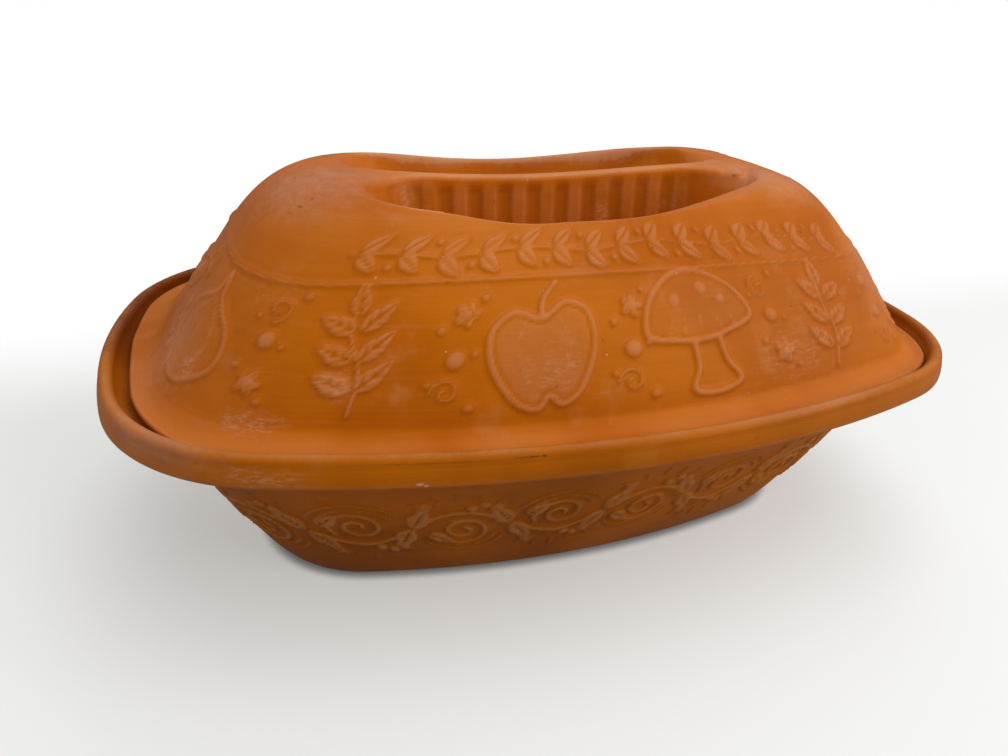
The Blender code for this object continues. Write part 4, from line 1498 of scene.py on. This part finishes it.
def makeClay(name, tones, marks, groups):
    material = bpy.data.materials.new(name)
    material.use_nodes = True
    tree = material.node_tree
    shader = tree.nodes["Principled BSDF"]
    spot = addNode(tree, "TexCoord").outputs["Object"]
    mottle = place(tree, groups["mottle"], {"Vector": spot})
    wipe = place(tree, groups["wipe"], {"Vector": spot})
    dust = place(tree, groups["dust"], {"Vector": spot, "Clouds": mottle["Clouds"]})
    shake = noiseAt(tree, spot, 1500.0, 2.0, 0.6)
    step = {0: clayColours["speckShake"], "Scale": shake}
    shaken = moved(tree, "ADD", spot, addNode(tree, "VectorMath", step, operation="SCALE").outputs[0])
    lifted = dust["Lifted"]
    # Painted shade where the ornament rises from the ground
    rising, falling = between(tree, lifted, 0.02, 0.16), between(tree, lifted, 0.20, 0.50, 1.0, 0.0)
    drivers = {
        "blotches": mottle["Blotches"],
        "grain": mottle["Grain"],
        "bands": wipe["Bands"],
        "lines": wipe["Lines"],
        "settledAndSheen": dust["SettledAndSheen"],
        "lifted": lifted,
        "soiledAndShaded": dust["SoiledAndShaded"],
        "rubbed": dust["Rubbed"],
        "wornAndHighlight": dust["WornAndHighlight"],
        "reliefFootShade": times(tree, rising, falling),
    }
    for kind, (scale, share, size) in claySpecks.items():
        speck = {"Vector": shaken, "Scale": scale, "Share": share, "Size": size}
        drivers[kind] = place(tree, groups["speck"], speck)["Mask"]

    tone = blendColours(tree, between(tree, mottle["Clouds"], 0.34, 0.66), tones["deep"], tones["body"])
    for driver, span, strength, shade in clayLayers:
        share = between(tree, drivers[driver], *span) if span else drivers[driver]
        over = tones[shade] if shade in tones else clayColours[shade]
        tone = blendColours(tree, times(tree, share, strength), tone, over)
    torn = noiseAt(tree, spot, 260.0, 4.0, 0.65)
    streaks = between(tree, noiseAt(tree, stretched(tree, spot, (260, 260, 1100)), 1.0, 3.0, 0.7), 0.46, 0.62)
    for kind, strength, centre, size in marks:
        ragged, soft, broken = markStyles[kind]
        centre, size = ([mm * value for value in values] for values in (centre, size))
        mark = {"Vector": spot, "Centre": centre, "Size": size, "Noise": torn, "Streaks": streaks,
                "Ragged": ragged, "Soft": soft, "Broken": broken}
        mask = place(tree, groups["mark"], mark)["Mask"]
        tone = blendColours(tree, times(tree, mask, strength), tone, clayColours[kind])
    tree.links.new(tone, shader.inputs["Base Color"])

    smooth, rough = clayColours["roughness"]
    sheen = plus(tree, times(tree, mottle["Blotches"], 0.5), times(tree, dust["SettledAndSheen"], 0.4))
    tree.links.new(between(tree, sheen, 0.1, 0.7, smooth, rough), shader.inputs["Roughness"])
    shader.inputs["Specular IOR Level"].default_value = clayColours["specular"]
    shader.inputs["Specular Tint"].default_value = clayColours["specularTint"]

    height = 0.0
    for driver, depth in clayBumps:
        height = plus(tree, height, times(tree, drivers[driver], depth))
    bump = addNode(tree, "Bump", {"Height": height, "Strength": clayColours["bumpStrength"], "Distance": 1.0})
    tree.links.new(bump.outputs[0], shader.inputs["Normal"])
    return material


# Stage: a pale floor that brightens to white behind, soft light and the camera

stageShape = {
    "floorSize": 8.0,
    "floorTone": (0.86, 0.875, 0.862, 1),
    "floorGlow": (0.90, 0.90, 0.875, 1),
    "glowShare": 0.36,
    "contactReach": 0.006,
    "floorBounce": (0.38, 0.38, 0.365, 1),
    "fadeFrom": 0.10,
    "fadeTo": 0.24,
    "worldLight": 0.31,
    "lamps": (
        ("topLamp", (0.10, -0.15, 1.30), 1.0, 6.5),
        ("frontLamp", (0.86, -0.74, 0.70), 1.0, 10.4),
        ("leftLamp", (-1.15, -0.25, 0.60), 1.0, 3.4),
        ("backLamp", (0.30, 0.75, 1.10), 1.0, 3.0),
    ),
    "cameraPlace": (-0.1128, -0.2667, 0.2044),
    "cameraLook": (0.302, 0.834, -0.462),
    "cameraRoll": 3.553,
    "cameraLens": 24.875,
    "sensorWidth": 36,
    "lampsLookAt": (0, 0, 0.08),
    "contactShade": (0.2, 0.8, 0.75, 0.0),
}
white = (1, 1, 1, 1)


def makeStage():
    shape = stageShape
    bpy.ops.object.select_all(action="DESELECT")
    bpy.ops.mesh.primitive_plane_add(size=shape["floorSize"])
    floor = bpy.context.object
    floor.name = "paleFloor"
    material = bpy.data.materials.new("paleFloor")
    material.use_nodes = True
    tree = material.node_tree
    shader = tree.nodes["Principled BSDF"]
    shader.inputs["Base Color"].default_value = shape["floorTone"]
    shader.inputs["Roughness"].default_value = 0.9
    spot = addNode(tree, "TexCoord").outputs["Object"]
    away = addNode(tree, "SeparateXYZ", {0: spot}).outputs["Y"]
    back = between(tree, away, shape["fadeFrom"], shape["fadeTo"])
    seen = mixShaders(tree, shape["glowShare"], shader.outputs[0], glow(tree, shape["floorGlow"]))
    openness = addNode(tree, "AmbientOcclusion", {"Distance": shape["contactReach"]}).outputs["AO"]
    seen = mixShaders(tree, between(tree, openness, *shape["contactShade"]), seen, glow(tree, white, 0.0))
    seen = mixShaders(tree, back, seen, glow(tree, white))
    dull = addNode(tree, "BsdfDiffuse", {"Color": shape["floorBounce"]}).outputs[0]
    mixed = mixShaders(tree, addNode(tree, "LightPath").outputs["Is Camera Ray"], dull, seen)
    tree.links.new(mixed, tree.nodes["Material Output"].inputs["Surface"])
    floor.data.materials.append(material)

    world = bpy.data.worlds.new("softRoom")
    bpy.context.scene.world = world
    world.use_nodes = True
    tree = world.node_tree
    room = tree.nodes["Background"]
    room.inputs["Strength"].default_value = shape["worldLight"]
    room.inputs["Color"].default_value = white
    seen = addNode(tree, "Background", {"Color": white, "Strength": 1.0}).outputs[0]
    mixed = mixShaders(tree, addNode(tree, "LightPath").outputs["Is Camera Ray"], room.outputs[0], seen)
    tree.links.new(mixed, tree.nodes["World Output"].inputs["Surface"])

    for name, spot, size, power in shape["lamps"]:
        bpy.ops.object.light_add(type="AREA", location=spot)
        lamp = bpy.context.object
        lamp.name = name
        lamp.data.size = size
        lamp.data.energy = power
        look = Vector(shape["lampsLookAt"]) - lamp.location
        lamp.rotation_euler = look.to_track_quat("-Z", "Y").to_euler()


def makeCamera():
    shape = stageShape
    look = Vector(shape["cameraLook"]).normalized()
    right = look.cross(Vector((0, 0, 1))).normalized()
    up = right.cross(look)
    roll = math.radians(shape["cameraRoll"])
    turnedRight = right * math.cos(roll) + up * math.sin(roll)
    turnedUp = up * math.cos(roll) - right * math.sin(roll)
    data = bpy.data.cameras.new("photoCamera")
    camera = bpy.data.objects.new("photoCamera", data)
    bpy.context.scene.collection.objects.link(camera)
    data.lens = shape["cameraLens"]
    data.sensor_width = shape["sensorWidth"]
    data.sensor_fit = "HORIZONTAL"
    data.clip_start = 0.01
    turn = Matrix((turnedRight, turnedUp, -look)).transposed().to_4x4()
    camera.matrix_world = Matrix.Translation(Vector(shape["cameraPlace"])) @ turn
    bpy.context.scene.camera = camera


makeCamera()
makeStage()
bpy.context.scene.view_settings.view_transform = "Standard"
say("camera, floor and light are set")
groups = {
    "mottle": makeMottleGroup(),
    "wipe": makeWipeGroup(),
    "speck": makeSpeckGroup(),
    "dust": makeDustGroup(),
    "mark": makeMarkGroup(),
}
dishClay = makeClay("dishClay", clayColours["dish"], clayMarks["dish"], groups)
lidClay = makeClay("lidClay", clayColours["lid"], clayMarks["lid"], groups)
say("clay is mixed")
makeDish(dishClay)
makeLid(lidClay)
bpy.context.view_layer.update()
say("sizes are written")
